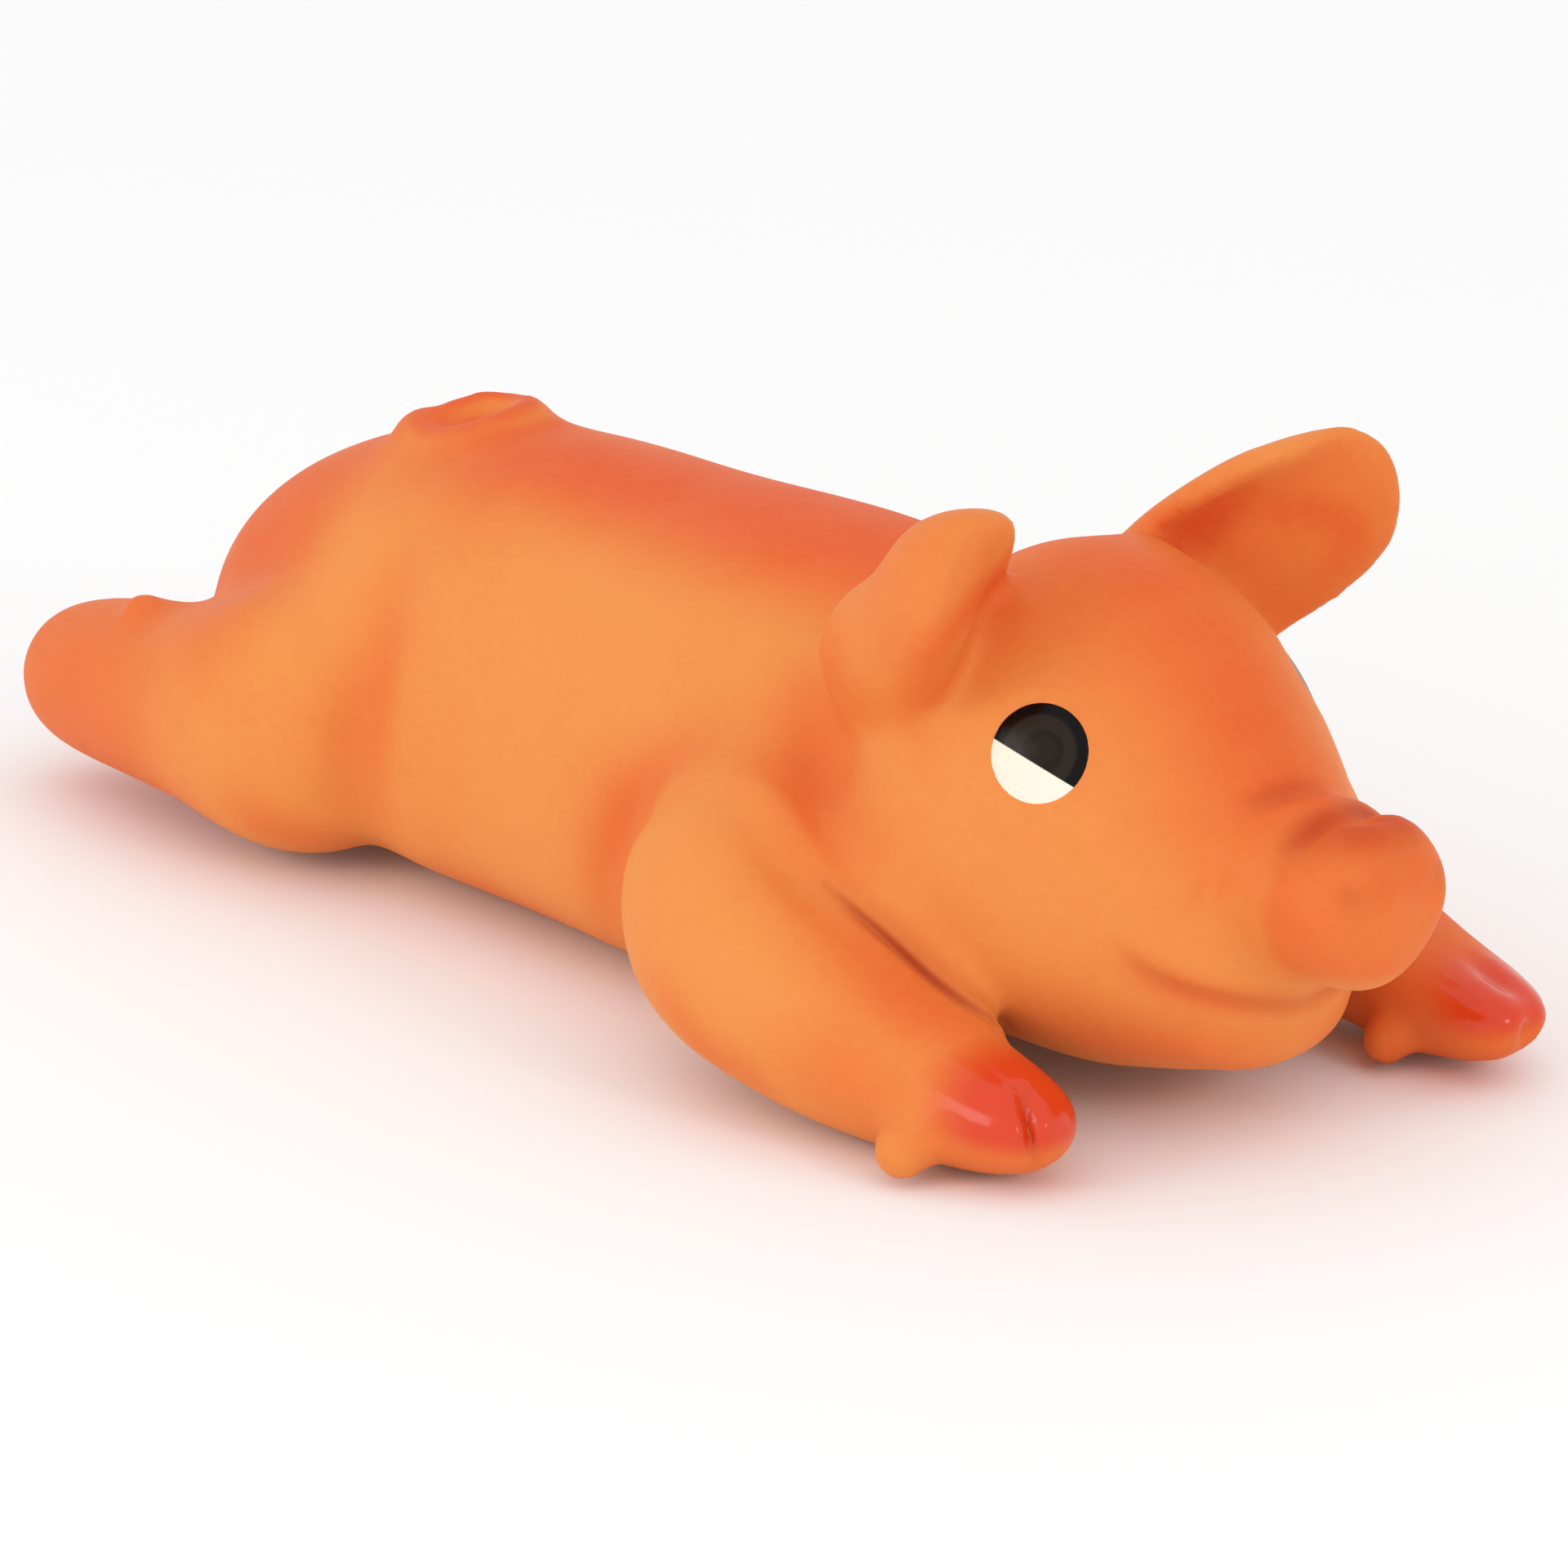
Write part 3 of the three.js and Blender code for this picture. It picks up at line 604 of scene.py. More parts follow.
def weigh(piece, name, weights):
    """A vertex group whose weights come in tenths."""
    group = piece.vertex_groups.new(name=name)
    tenths = np.round(np.clip(weights, 0, 1) * 10).astype(int)
    for tenth in range(1, 11):
        group.add(np.flatnonzero(tenths == tenth).tolist(), tenth / 10, "REPLACE")


# Strokes: lines over the skin that are pressed in, puffed out or airbrushed
SAMPLE_PIXELS = 12


def traced(tree, pixels):
    """Points of the skin that a line of the photograph runs over, set close together.

    Where the line leaves the skin's outline it has none.
    """
    pixels = np.asarray(pixels, float)
    if len(pixels) > 1:
        length = np.linalg.norm(np.diff(pixels, axis=0), axis=1).sum()
        pixels = smooth_through(pixels, np.linspace(0, 1, max(int(length / SAMPLE_PIXELS), 2)))
    hits = [tree.ray_cast(*photo_ray(pixel))[0] for pixel in pixels]
    seen = [np.array(hit) for hit in hits if hit]
    if not seen:
        raise ValueError(f"no skin under the line that starts at {tuple(pixels[0])}")
    return seen


def stroke(points, spacing):
    """A smooth line through points, with the share along it of each of its samples."""
    points = np.asarray(points, float)
    if len(points) == 1:
        return points, np.full(1, 0.5)
    length = np.linalg.norm(np.diff(points, axis=0), axis=1).sum()
    share = np.linspace(0, 1, max(int(length / spacing), 2))
    return smooth_through(points, share), share


def nearness(skin_points, line, width, tapered=True):
    """How near each point is to a line: 1 on it, falling like a bell over the width, and less at its ends."""
    samples, share = stroke(line, 0.35 * width)
    strength = np.sin(np.pi * np.clip(share, 0.04, 0.96)) ** 0.6 if tapered else np.ones(len(share))
    low, high = samples.min(axis=0) - 3 * width, samples.max(axis=0) + 3 * width
    near = np.flatnonzero(np.all((skin_points > low) & (skin_points < high), axis=1))
    result = np.zeros(len(skin_points))
    best = np.zeros(len(near))
    for sample, weight in zip(samples, strength):
        distance = np.sum((skin_points[near] - sample) ** 2, axis=1)
        best = np.maximum(best, weight * np.exp(-distance / width**2))
    result[near] = best
    return result


def ramp(values, low, high):
    """0 up to the low value, 1 from the high one, and smooth between them."""
    share = np.clip((values - low) / (high - low), 0, 1)
    return share * share * (3 - 2 * share)


class Clay:
    """The skin's points, and the layers of colour on them, while they are pressed, airbrushed and given
    painted shade.
    """

    def __init__(self, skin):
        self.skin = skin
        self.refresh()
        self.layers = {name: np.zeros(len(self.points)) for name in ("airbrush", "paint", "deep")}

    def refresh(self):
        self.points = points_of(self.skin)
        self.normals = points_of(self.skin, "normal")
        triangles = [tuple(polygon.vertices) for polygon in self.skin.data.polygons]
        self.tree = BVHTree.FromPolygons([Vector(point) for point in self.points], triangles)

    def push(self, amount, mask):
        """Moves the points out along their normals by an amount, or in where it is negative."""
        self.points += self.normals * (amount * mask)[:, None]
        move_points(self.skin, self.points)
        self.normals = points_of(self.skin, "normal")

    def crease(self, pixels, width, depth, puff, sides=SIDES):
        """Presses a line of the photograph into the skin, and its mirror image on the other side."""
        seen = traced(self.tree, pixels)
        for side in sides:
            line = [mirrored(point, -side) for point in seen]
            self.push(-depth, nearness(self.points, line, width))
            self.push(depth * puff, nearness(self.points, line, 2.2 * width))

    def near(self, line, width, tapered=False):
        """How near each point is to a line of the skin or to its mirror image."""
        line = np.asarray(line)
        own, other = (nearness(self.points, line * (1, side, 1), width, tapered) for side in SIDES)
        return np.maximum(own, other)

    def near_seen(self, pixels, width, tapered=True):
        return self.near(traced(self.tree, pixels), width, tapered)

    def lay(self, name, values):
        """Brings a layer of colour up to the values, where it is below them."""
        self.layers[name] = np.maximum(self.layers[name], values)


# Skin: rounds of smoothing over all of it, along its melted lines, and before and after its creases
FIRST_SMOOTHING = 14
MELTED_SMOOTHING = 160
FOLD_SMOOTHING = 5
LAST_SMOOTHING = 2


def make_skin():
    forms = [body_form(), skull_form(), snout_form(), chin_form(), tail_form(), *dewclaw_forms()]
    for side in SIDES:
        forms += [foreleg_form(side), hindleg_form(side), ear_form(side), *web_forms(side)]
    skin = joined("pig_skin", forms)
    finished_with(skin, "REMESH", mode="VOXEL", voxel_size=sizes().fineness, use_smooth_shade=True)
    points = points_of(skin) / MM
    ear_tips = ramp(points[:, 2], 58, 64) * ramp(points[:, 0], 40, 46)
    weigh(skin, "full", 1 - 0.5 * ear_tips)
    smooth(skin, FIRST_SMOOTHING, vertex_group="full")
    weigh(skin, "melted", melting(skin))
    smooth(skin, MELTED_SMOOTHING, vertex_group="melted")
    for lines, reach, cuts in FINE_FOLDS:
        refine(skin, lines, reach, cuts)
    smooth(skin, FOLD_SMOOTHING)
    clay = Clay(skin)
    press_creases(clay)
    smooth(skin, LAST_SMOOTHING)
    clay.refresh()
    press_seats(clay)
    airbrush(clay)
    points = points_of(skin)
    points[:, 2] = np.maximum(points[:, 2], 0)
    move_points(skin, points)
    skin.vertex_groups.clear()
    dress(skin, new_material("satin_latex", latex_look))
    return skin


def melting(skin):
    """How far the forms run into each other without an edge."""
    clay = Clay(skin)
    melted = np.zeros(len(clay.points))
    for pixels, reach, strength in MELTED:
        melted = np.maximum(melted, strength * clay.near_seen(pixels, reach * MM, False))
    return melted


def refine(skin, lines, reach, cuts):
    """Sets points closer along lines of the photograph, for folds thinner than the skin's own spacing."""
    clay = Clay(skin)
    near = np.zeros(len(clay.points))
    for pixels in lines:
        near = np.maximum(near, clay.near_seen(pixels, reach * MM, False))
    only(skin)
    mode("EDIT")
    bpy.ops.mesh.select_mode(type="VERT")
    bpy.ops.mesh.select_all(action="DESELECT")
    mode("OBJECT")
    skin.data.vertices.foreach_set("select", near > math.exp(-1))
    mode("EDIT")
    bpy.ops.mesh.subdivide(number_cuts=cuts)
    mode("OBJECT")


def press_creases(clay):
    for pixels, width, depth, puff in CREASED:
        clay.crease(pixels, width * MM, depth * MM, puff)
    press_ears(clay)
    press_nostrils(clay)
    press_clefts(clay)


# Places along each ear and towards its upper edge, in the groove of its hollow and on its thick edge
EAR_GROOVE = ((5, 4.5), (12, 6), (20, 6.5), (28, 6))
EAR_EDGE = ((8, 12), (16, 12.5), (26, 11.5), (34, 9))
# Depth of each ear's groove and height of its edge
EAR_RELIEF = ((LEFT, 2.6, 1.2), (RIGHT, 1.2, 0))


def ear_line(side, places, forward):
    root, rise, facing, edge = ear_axes(side)
    line = [root + rise * along + edge * across + facing * forward for along, across in places]
    return np.array(line) * MM


def ear_hollow(clay, side, width):
    """How near each point of an ear's front is to the groove under its upper edge."""
    front = ramp(clay.normals @ ear_axes(side)[2], 0.0, 0.5)
    return front * nearness(clay.points, ear_line(side, EAR_GROOVE, 4), width * MM)


def ear_inside(clay, side):
    """The front of an ear, apart from its thick upper edge."""
    root, rise, facing, edge = ear_axes(side)
    away = clay.points / MM - root
    front = ramp(clay.normals @ facing, 0.1, 0.6) * ramp(away @ rise, 2, 8)
    return front * (1 - ramp(away @ edge, 4, 8)) * (np.abs(away @ edge) < 18) * (np.abs(away @ facing) < 12)


def ear_rim(clay, side):
    """How near each point is to the thick upper edge of an ear."""
    return nearness(clay.points, ear_line(side, EAR_EDGE, 8), 4 * MM)


def press_ears(clay):
    for side, depth, rim in EAR_RELIEF:
        clay.push(-depth * MM, ear_hollow(clay, side, 4.2))
        clay.push(rim * MM, ear_rim(clay, side))


# Eye seats, and the filling hole under the voice unit
SEAT_DEPTH = 0.5
VOICE_X = -7
PLUG_HOLE = 7
HOLE_DEPTH = 2.6


def press_seats(clay):
    """Shallow seats round the eyes, and the filling hole in the belly."""
    seen = traced(clay.tree, (EYE_MIDDLE,))[0]
    for side in SIDES:
        away = np.linalg.norm(clay.points - mirrored(seen, -side), axis=1)
        radius = sizes().eye_radius
        clay.push(-SEAT_DEPTH * MM, 1 - ramp(away, radius + 0.2 * MM, radius + 1.6 * MM))
    away = np.linalg.norm(clay.points[:, :2] / MM - (VOICE_X, 0), axis=1)
    under = (clay.points[:, 2] < 3 * MM) & (away < PLUG_HOLE + 2)
    hole = under * (1 - ramp(away, PLUG_HOLE - 0.2, PLUG_HOLE + 1))
    clay.points[:, 2] += HOLE_DEPTH * MM * hole
    move_points(clay.skin, clay.points)


NOSTRIL_WIDTH = 1.7


def press_nostrils(clay):
    for side in SIDES:
        middle = np.array(((snout_front(), side * NOSTRIL_SPACING / 2, SNOUT_HEIGHT + 1),)) * MM
        dimple = nearness(clay.points, middle, NOSTRIL_WIDTH * MM, False)
        clay.push(-sizes().nostril_depth, dimple)


# Feet that the photograph doesn't show: height of the cleft's middle, and the way that the foot points
CLOVEN = (("left_foreleg", 6, 1), ("left_hind_leg", 12, -1), ("right_hind_leg", 12, -1))
CLEFT_WIDTH = 1.6
# Places back from a foot's tip and over the cleft's middle, along the cleft
CLEFT_LINE = ((11, 8), (5, 5), (0, 0), (3, -6))


def press_clefts(clay):
    for node, level, direction in CLOVEN:
        low, high = (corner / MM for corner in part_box(node))
        tip = high.x if direction > 0 else low.x
        middle = math.copysign(min(abs(low.y), abs(high.y)) + 10, low.y + high.y)
        line = [(tip - direction * back, middle, level + rise) for back, rise in CLEFT_LINE]
        cleft = nearness(clay.points, np.array(line) * MM, CLEFT_WIDTH * MM)
        clay.push(-sizes().cleft_depth, cleft)
    clay.crease(TOE_CLEFT, 1.2 * MM, 0.8 * sizes().cleft_depth, 0.2, sides=(RIGHT,))


# Line along the top of the head and the snout that is airbrushed
HEAD_TOP = ((50, 0, 68), (75, 0, 62), (88, 0, 52), (97, 0, 44), (106, 0, 45))


def airbrush(clay):
    """Redder latex on the back, the head, the snout, the ears and the feet, and painted shade in the creases,
    the grooves, the undersides and on the far foreleg's inner side.
    """
    points = clay.points / MM
    x, y, z = points.T
    # The back and the rump are redder: partly airbrush, partly painted shade where they turn away at the
    # outline
    back = ramp(z, 47, 58) * ramp(clay.normals[:, 2], 0.6, 1) * (1 - ramp(x, 42, 56))
    # painted shade round the near ear's root, on the near side only
    near_ear_root_shade = ramp(x, 42, 48) * ramp(np.abs(y), 18, 23) * (y < 0) * ramp(z, 52, 60)
    snout = ramp(x, 102, 107) * ramp(z, 22, 27) * (1 - ramp(np.abs(y), 18, 24))
    rump = ramp(-x, 52, 72) * ramp(z, 18, 38)
    clay.lay("airbrush", 0.95 * back + 0.3 * near_ear_root_shade + 0.6 * snout)
    clay.lay("airbrush", 0.75 * rump)
    clay.lay("airbrush", 0.82 * clay.near(np.array(HEAD_TOP) * MM, 17 * MM))
    for name, lines in (("airbrush", AIRBRUSHED_AND_SHADED), ("deep", PAINTED_SHADE_LINES)):
        for pixels, width, strength in lines:
            clay.lay(name, strength * clay.near_seen(pixels, width * MM))
    # painted shade in the near toe's cleft
    cleft = traced(clay.tree, TOE_CLEFT)
    clay.lay("deep", 0.25 * nearness(clay.points, cleft, 0.8 * MM))
    for side in SIDES:
        # painted shade in the groove under each ear's upper edge
        clay.lay("airbrush", 0.95 * ear_hollow(clay, side, 4.5))
        clay.lay("airbrush", 0.4 * ear_inside(clay, side) * (1 - ear_rim(clay, side)))
        tip, middle, rise = FOREFEET[side]
        away = np.linalg.norm((points - (tip - 8, middle, 11 + rise)) * (0.8, 1, 1.1), axis=1)
        own = ramp(side * y, 24, 27)
        clay.lay("paint", (1 - ramp(away, 8.5, 16)) * ramp(z, 5.2 + rise, 8.4 + rise) * own)
        clay.lay("airbrush", 0.6 * (1 - ramp(away, 10, 24)) * own)
    clay.lay("airbrush", 0.65 * ramp(-x, 56, 92))
    # painted shade on the far foreleg's inner side, where the snout's shadow falls
    far_foreleg_shade = ramp(x, 68, 84) * ramp(y, 18, 24)
    clay.lay("airbrush", 0.7 * far_foreleg_shade)
    clay.lay("deep", 0.08 * far_foreleg_shade * (1 - ramp(x, 92, 102)))
    for name, values in clay.layers.items():
        layer = clay.skin.data.attributes.new(name, "FLOAT", "POINT")
        layer.data.foreach_set("value", values.astype(np.float32))


# Eyes: thin enamelled discs that lie on the head, with their dome, their edge and their back in millimetres
EYE_DOME = 0.35
EYE_EDGE = 0.2
EYE_BACK = 0.8


def eye_axes():
    """The right eye's middle on the skin, and its disc's outward, rightward and upward directions."""
    tree = Clay(bpy.data.objects["pig_skin"]).tree
    middle, outward = tree.ray_cast(*photo_ray(EYE_MIDDLE))[:2]
    across = photo_axes()[1]
    across = (across - outward * across.dot(outward)).normalized()
    return tree, middle, outward, across, outward.cross(across)


def make_eyes():
    tree, middle, outward, across, rise = eye_axes()
    radius = sizes().eye_radius
    eye = new_ball("right_eye_enamel", 1, 64, 48)
    eye.data.name = eye.name
    ball = points_of(eye)
    away = np.linalg.norm(ball[:, :2], axis=1)
    points = []
    for (x, y, z), rim in zip(ball, away):
        flat = middle + (across * float(x) + rise * float(y)) * radius
        hit = tree.ray_cast(flat + outward * 5 * MM, -outward)[0] or flat
        dome = EYE_DOME * (1 - rim**2) + EYE_EDGE if z > 0 else -EYE_BACK
        points.append(hit + outward * (dome * math.sqrt(max(1 - rim**8, 0)) * MM))
    move_points(eye, np.array(points))
    disc = eye.data.uv_layers.active.data
    for loop in eye.data.loops:
        place = ball[loop.vertex_index]
        disc[loop.index].uv = (0.5 + place[0] / 2, 0.5 + place[1] / 2)
    only(eye)
    bpy.ops.object.shade_smooth()
    dress(eye, new_material("eye_enamel", enamel_look))
    bpy.ops.object.duplicate()
    other = bpy.context.object
    other.name = other.data.name = "left_eye_enamel"
    move_points(other, points_of(other) * (1, -1, 1))
    edited(other, bpy.ops.mesh.flip_normals)
    return eye, other


# Wadding: the polyester fibre that fills each hollow
WADDED = ("body", "head", "left_foreleg", "right_foreleg", "left_hind_leg", "right_hind_leg")
WADDING_SPACING = 1.3
WADDING_LUMPS = 2.4


def make_wadding(part, lumps, material):
    """A lumpy copy of the solid that fills a part, drawn in a little so that it stays in its hollow."""
    source = bpy.data.objects[part + "_filling"]
    piece = bpy.data.objects.new(part + "_wadding", source.data.copy())
    bpy.context.scene.collection.objects.link(piece)
    piece.data.name = piece.name
    edited(piece, lambda: bpy.ops.mesh.remove_doubles(threshold=0.01 * MM))
    finished_with(piece, "REMESH", mode="VOXEL", voxel_size=WADDING_SPACING * MM, use_smooth_shade=True)
    smooth(piece, 6)
    inward = {"strength": -WADDING_LUMPS * MM, "mid_level": 0.15, "texture_coords": "LOCAL"}
    finished_with(piece, "DISPLACE", texture=lumps, **inward)
    smooth(piece, 1, 0.4)
    dress(piece, material)
    return piece


# Turned pieces: the plug, the bellows and the spring
PLUG_BORE = 1.5
PLUG_BOTTOM = 0.4
VOICE_RADIUS = 17
BELLOWS_FOOT = 7
BELLOWS_TOP = 31
BELLOWS_WALL = 0.7
BELLOWS_DEPTH = 2.6
PLEATS = 5
PLEAT_STEPS = 16
SPRING_RADIUS = 10.5
SPRING_WIRE = 0.6
SPRING_TURNS = 4
SPRING_ENDS = 1.5
SPRING_STEPS = 40


def turned(name, outline, steps):
    """A closed outline of (radius, height) in millimetres, turned once round the voice unit's axis."""
    piece = added(name, bpy.ops.mesh.primitive_circle_add, vertices=len(outline), radius=1)
    piece.data.name = name
    move_points(piece, np.array([(VOICE_X + radius, 0, height) for radius, height in outline]) * MM)

    def turn():
        bpy.ops.mesh.spin(steps=steps, angle=2 * math.pi, center=(VOICE_X * MM, 0, 0), axis=(0, 0, 1))
        bpy.ops.mesh.select_all(action="SELECT")
        bpy.ops.mesh.remove_doubles(threshold=0.001 * MM)
        bpy.ops.mesh.normals_make_consistent(inside=False)

    edited(piece, turn)
    return piece


def shade_by_angle(piece, degrees):
    only(piece)
    bpy.ops.object.shade_smooth_by_angle(angle=math.radians(degrees))


def make_plug():
    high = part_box("belly_plug")[1]
    top = high.z / MM
    neck = PLUG_HOLE - SEAM
    flange = high.y / MM - 0.2
    foot = [(PLUG_BORE, 0.5), (PLUG_BORE + 0.5, 0), (neck - 0.8, 0), (neck, 0.8)]
    outline = [(radius, PLUG_BOTTOM + rise) for radius, rise in foot]
    outline += [(neck, top - 2.1), (flange - 0.6, top - 2.1), (flange, top - 1.6), (flange, top - 0.6)]
    outline += [(flange - 0.5, top - 0.1), (PLUG_BORE, top - 0.1)]
    plug = turned("latex_plug", outline, 64)
    finished_with(plug, "BEVEL", width=0.25 * MM, segments=3, limit_method="ANGLE")
    shade_by_angle(plug, 40)
    return plug


def make_bellows():
    """A tube folded into pleats, with a flat cuff at each end."""
    rows = PLEATS * PLEAT_STEPS
    outside, inside = [], []
    for row in range(rows + 1):
        share = row / rows
        fold = (0.5 - 0.5 * math.cos(2 * math.pi * PLEATS * share)) ** 1.4
        middle = VOICE_RADIUS - 0.6 - BELLOWS_DEPTH * fold
        height = mixed(BELLOWS_FOOT, BELLOWS_TOP, share)
        outside.append((middle, height))
        inside.append((middle - BELLOWS_WALL, height))
    bellows = turned("pleated_bellows", outside + inside[::-1], 96)
    shade_by_angle(bellows, 60)
    return bellows


def make_spring():
    """A coil of round wire whose end turns lie flat."""
    turns = SPRING_TURNS + SPRING_ENDS
    along = np.linspace(0, 1, int(turns * SPRING_STEPS))
    low, high = BELLOWS_FOOT + SPRING_WIRE, BELLOWS_TOP - SPRING_WIRE
    spring = added("coil_spring", bpy.ops.curve.primitive_bezier_circle_add, radius=1)
    spring.data.splines.clear()
    wire = spring.data.splines.new("POLY")
    wire.points.add(len(along) - 1)
    for point, share in zip(wire.points, along):
        turn = 2 * math.pi * turns * share
        climb = ramp(share, 0.08, 0.92)
        height = low + (high - low) * (0.75 * climb + 0.25 * share)
        across, aside = SPRING_RADIUS * math.cos(turn), SPRING_RADIUS * math.sin(turn)
        point.co = ((VOICE_X + across) * MM, aside * MM, height * MM, 1)
    spring.data.dimensions = "3D"
    spring.data.bevel_depth = SPRING_WIRE * MM
    spring.data.bevel_resolution = 4
    spring.data.use_fill_caps = True
    only(spring)
    bpy.ops.object.convert(target="MESH")
    spring = bpy.context.object
    shade_by_angle(spring, 50)
    return spring


# Materials

def fill(tree, node, given):
    """Feeds a node's inputs with what is given for their names or numbers."""
    for name, value in given.items():
        if isinstance(value, bpy.types.NodeSocket):
            tree.links.new(value, node.inputs[name])
        else:
            node.inputs[name].default_value = value


def new_material(name, look, *values):
    """A material whose shader is filled with what a look gives for its inputs."""
    material = bpy.data.materials.new(name)
    material.use_nodes = True
    tree = material.node_tree
    fill(tree, tree.nodes["Principled BSDF"], look(tree, *values))
    return material


def add_node(tree, kind, given=(), **settings):
    node = tree.nodes.new(kind)
    for name, setting in settings.items():
        setattr(node, name, setting)
    fill(tree, node, dict(given))
    return node


def attribute_value(tree, name):
    return add_node(tree, "ShaderNodeAttribute", attribute_name=name).outputs["Fac"]


def mix_colour(tree, share, first, second):
    given = {"Factor": share, "A": first, "B": second}
    return add_node(tree, "ShaderNodeMix", given, data_type="RGBA").outputs["Result"]


def maths(tree, operation, *values, clamped=False):
    given = dict(enumerate(values))
    return add_node(tree, "ShaderNodeMath", given, operation=operation, use_clamp=clamped).outputs[0]


def band(tree, value, low, high, ends=(0, 1)):
    """A value mapped smoothly from one range to another."""
    given = {"Value": value, "From Min": low, "From Max": high, "To Min": ends[0], "To Max": ends[1]}
    node = add_node(tree, "ShaderNodeMapRange", given, interpolation_type="SMOOTHSTEP")
    return node.outputs["Result"]


def own_place(tree):
    """Places on a piece, in its own coordinates."""
    return add_node(tree, "ShaderNodeTexCoord").outputs["Object"]


def shader_group(name, outputs, build):
    """A node group that several materials use, with a Scale going in, built once."""
    tree = bpy.data.node_groups.get(name)
    if tree is None:
        tree = bpy.data.node_groups.new(name, "ShaderNodeTree")
        tree.interface.new_socket("Scale", in_out="INPUT", socket_type="NodeSocketFloat")
        for output in outputs:
            tree.interface.new_socket(output, in_out="OUTPUT", socket_type="NodeSocketFloat")
        build(tree, tree.nodes.new("NodeGroupInput"), tree.nodes.new("NodeGroupOutput"))
    return tree


def build_grain(tree, given, made):
    """Fine grain for a bump, and slow mottling for colour and gloss, both on the piece's own coordinates."""
    where = own_place(tree)
    for output, share, detail in (("Grain", 1.0, 4), ("Mottle", 0.06, 3)):
        scale = maths(tree, "MULTIPLY", given.outputs["Scale"], share)
        speckle = {"Detail": detail, "Scale": scale, "Vector": where}
        noise = add_node(tree, "ShaderNodeTexNoise", speckle)
        tree.links.new(noise.outputs["Fac"], made.inputs[output])


def grain(tree, scale):
    group = shader_group("grain_and_mottle", ("Grain", "Mottle"), build_grain)
    node = add_node(tree, "ShaderNodeGroup", node_tree=group)
    node.inputs["Scale"].default_value = scale
    return node.outputs["Grain"], node.outputs["Mottle"]


def bump(tree, height, strength, depth):
    given = {"Strength": strength, "Distance": depth * MM, "Height": height}
    return add_node(tree, "ShaderNodeBump", given).outputs["Normal"]


def latex_look(tree):
    """Satin latex: light orange, airbrushed redder and darkened by painted shade, with glossy red paint on
    the front feet.
    """
    c = colours()
    fine, mottle = grain(tree, 900)
    speckle = band(tree, fine, 0.3, 0.7, (-0.03, 0.03))
    cloud = band(tree, mottle, 0.25, 0.75, (-0.05, 0.05))
    uneven = maths(tree, "ADD", speckle, cloud)
    sprayed_and_shaded = maths(tree, "ADD", attribute_value(tree, "airbrush"), uneven, clamped=True)
    paint = attribute_value(tree, "paint")
    painted = maths(tree, "MULTIPLY_ADD", uneven, 0.6, paint, clamped=True)
    skin = mix_colour(tree, sprayed_and_shaded, c.latex, c.airbrush)
    skin = mix_colour(tree, painted, skin, c.trotter)
    # dark red painted shade in the deepest creases and recesses
    skin = mix_colour(tree, attribute_value(tree, "deep"), skin, c.crease)
    rough = band(tree, mottle, 0.25, 0.75, (0.5, 0.58))
    return {
        "Base Color": skin,
        "Roughness": maths(tree, "MULTIPLY_ADD", paint, -0.2, rough),
        "Coat Weight": maths(tree, "MULTIPLY", paint, 0.65),
        "Coat Roughness": 0.14,
        "Specular IOR Level": 0.13,
        "Normal": bump(tree, fine, 0.08, 0.2),
    }


# Straight line between the cream and the black of an eye: its slope, and its drop as a share of the radius
EYE_CHORD_SLOPE = math.radians(32.8)
EYE_CHORD_DROP = 0.22
# Discs within the black: middle, in shares of the eye's radius, and where the edge starts and ends
EYE_IRIS = ((0.02, 0.0), 0.36, 0.40)
EYE_RING = ((0.1, 0.02), 0.2, 0.23)
EYE_PUPIL = ((0.14, 0.06), 0.1, 0.16)


def enamel_look(tree):
    """Black enamel over cream, parted by a straight chord, with a brown disc in the black."""
    c = colours()
    disc = add_node(tree, "ShaderNodeUVMap").outputs["UV"]
    parts = add_node(tree, "ShaderNodeSeparateXYZ", {"Vector": disc})
    fine, mottle = grain(tree, 2500)

    def inside(place, start, end):
        given = {0: disc, 1: (0.5 + place[0] / 2, 0.5 + place[1] / 2, 0)}
        away = add_node(tree, "ShaderNodeVectorMath", given, operation="DISTANCE").outputs["Value"]
        return band(tree, away, start, end, (1, 0))

    dark = mix_colour(tree, inside(*EYE_IRIS), c.eye_black, c.eye_iris)
    dark = mix_colour(tree, maths(tree, "MULTIPLY", inside(*EYE_RING), 0.45), dark, c.eye_black)
    dark = mix_colour(tree, maths(tree, "MULTIPLY", inside(*EYE_PUPIL), 0.5), dark, c.eye_iris)
    across, upward = math.sin(EYE_CHORD_SLOPE), math.cos(EYE_CHORD_SLOPE)
    slant = maths(tree, "MULTIPLY", parts.outputs["X"], -across)
    level = maths(tree, "MULTIPLY", parts.outputs["Y"], -upward)
    chord = -(across + upward) / 2 + EYE_CHORD_DROP / 2
    cream = band(tree, maths(tree, "ADD", slant, level), chord - 0.006, chord + 0.006)
    pale = mix_colour(tree, band(tree, mottle, 0.3, 0.7, (0, 0.25)), c.eye_cream, (0.84, 0.76, 0.6, 1))
    return {
        "Base Color": mix_colour(tree, cream, dark, pale),
        "Roughness": band(tree, mottle, 0.2, 0.8, (0.14, 0.24)),
        "Specular IOR Level": 0.15,
        "Normal": bump(tree, fine, 0.05, 0.1),
    }


def plain_look(tree, colour, dark, scale, rough, metallic=0.0):
    """A moulded or drawn material: two tones, gloss that varies, and a fine grain."""
    fine, mottle = grain(tree, scale)
    return {
        "Base Color": mix_colour(tree, band(tree, mottle, 0.25, 0.75), dark, colour),
        "Roughness": band(tree, fine, 0.2, 0.8, rough),
        "Metallic": metallic,
        "Normal": bump(tree, fine, 0.1, 0.2),
    }


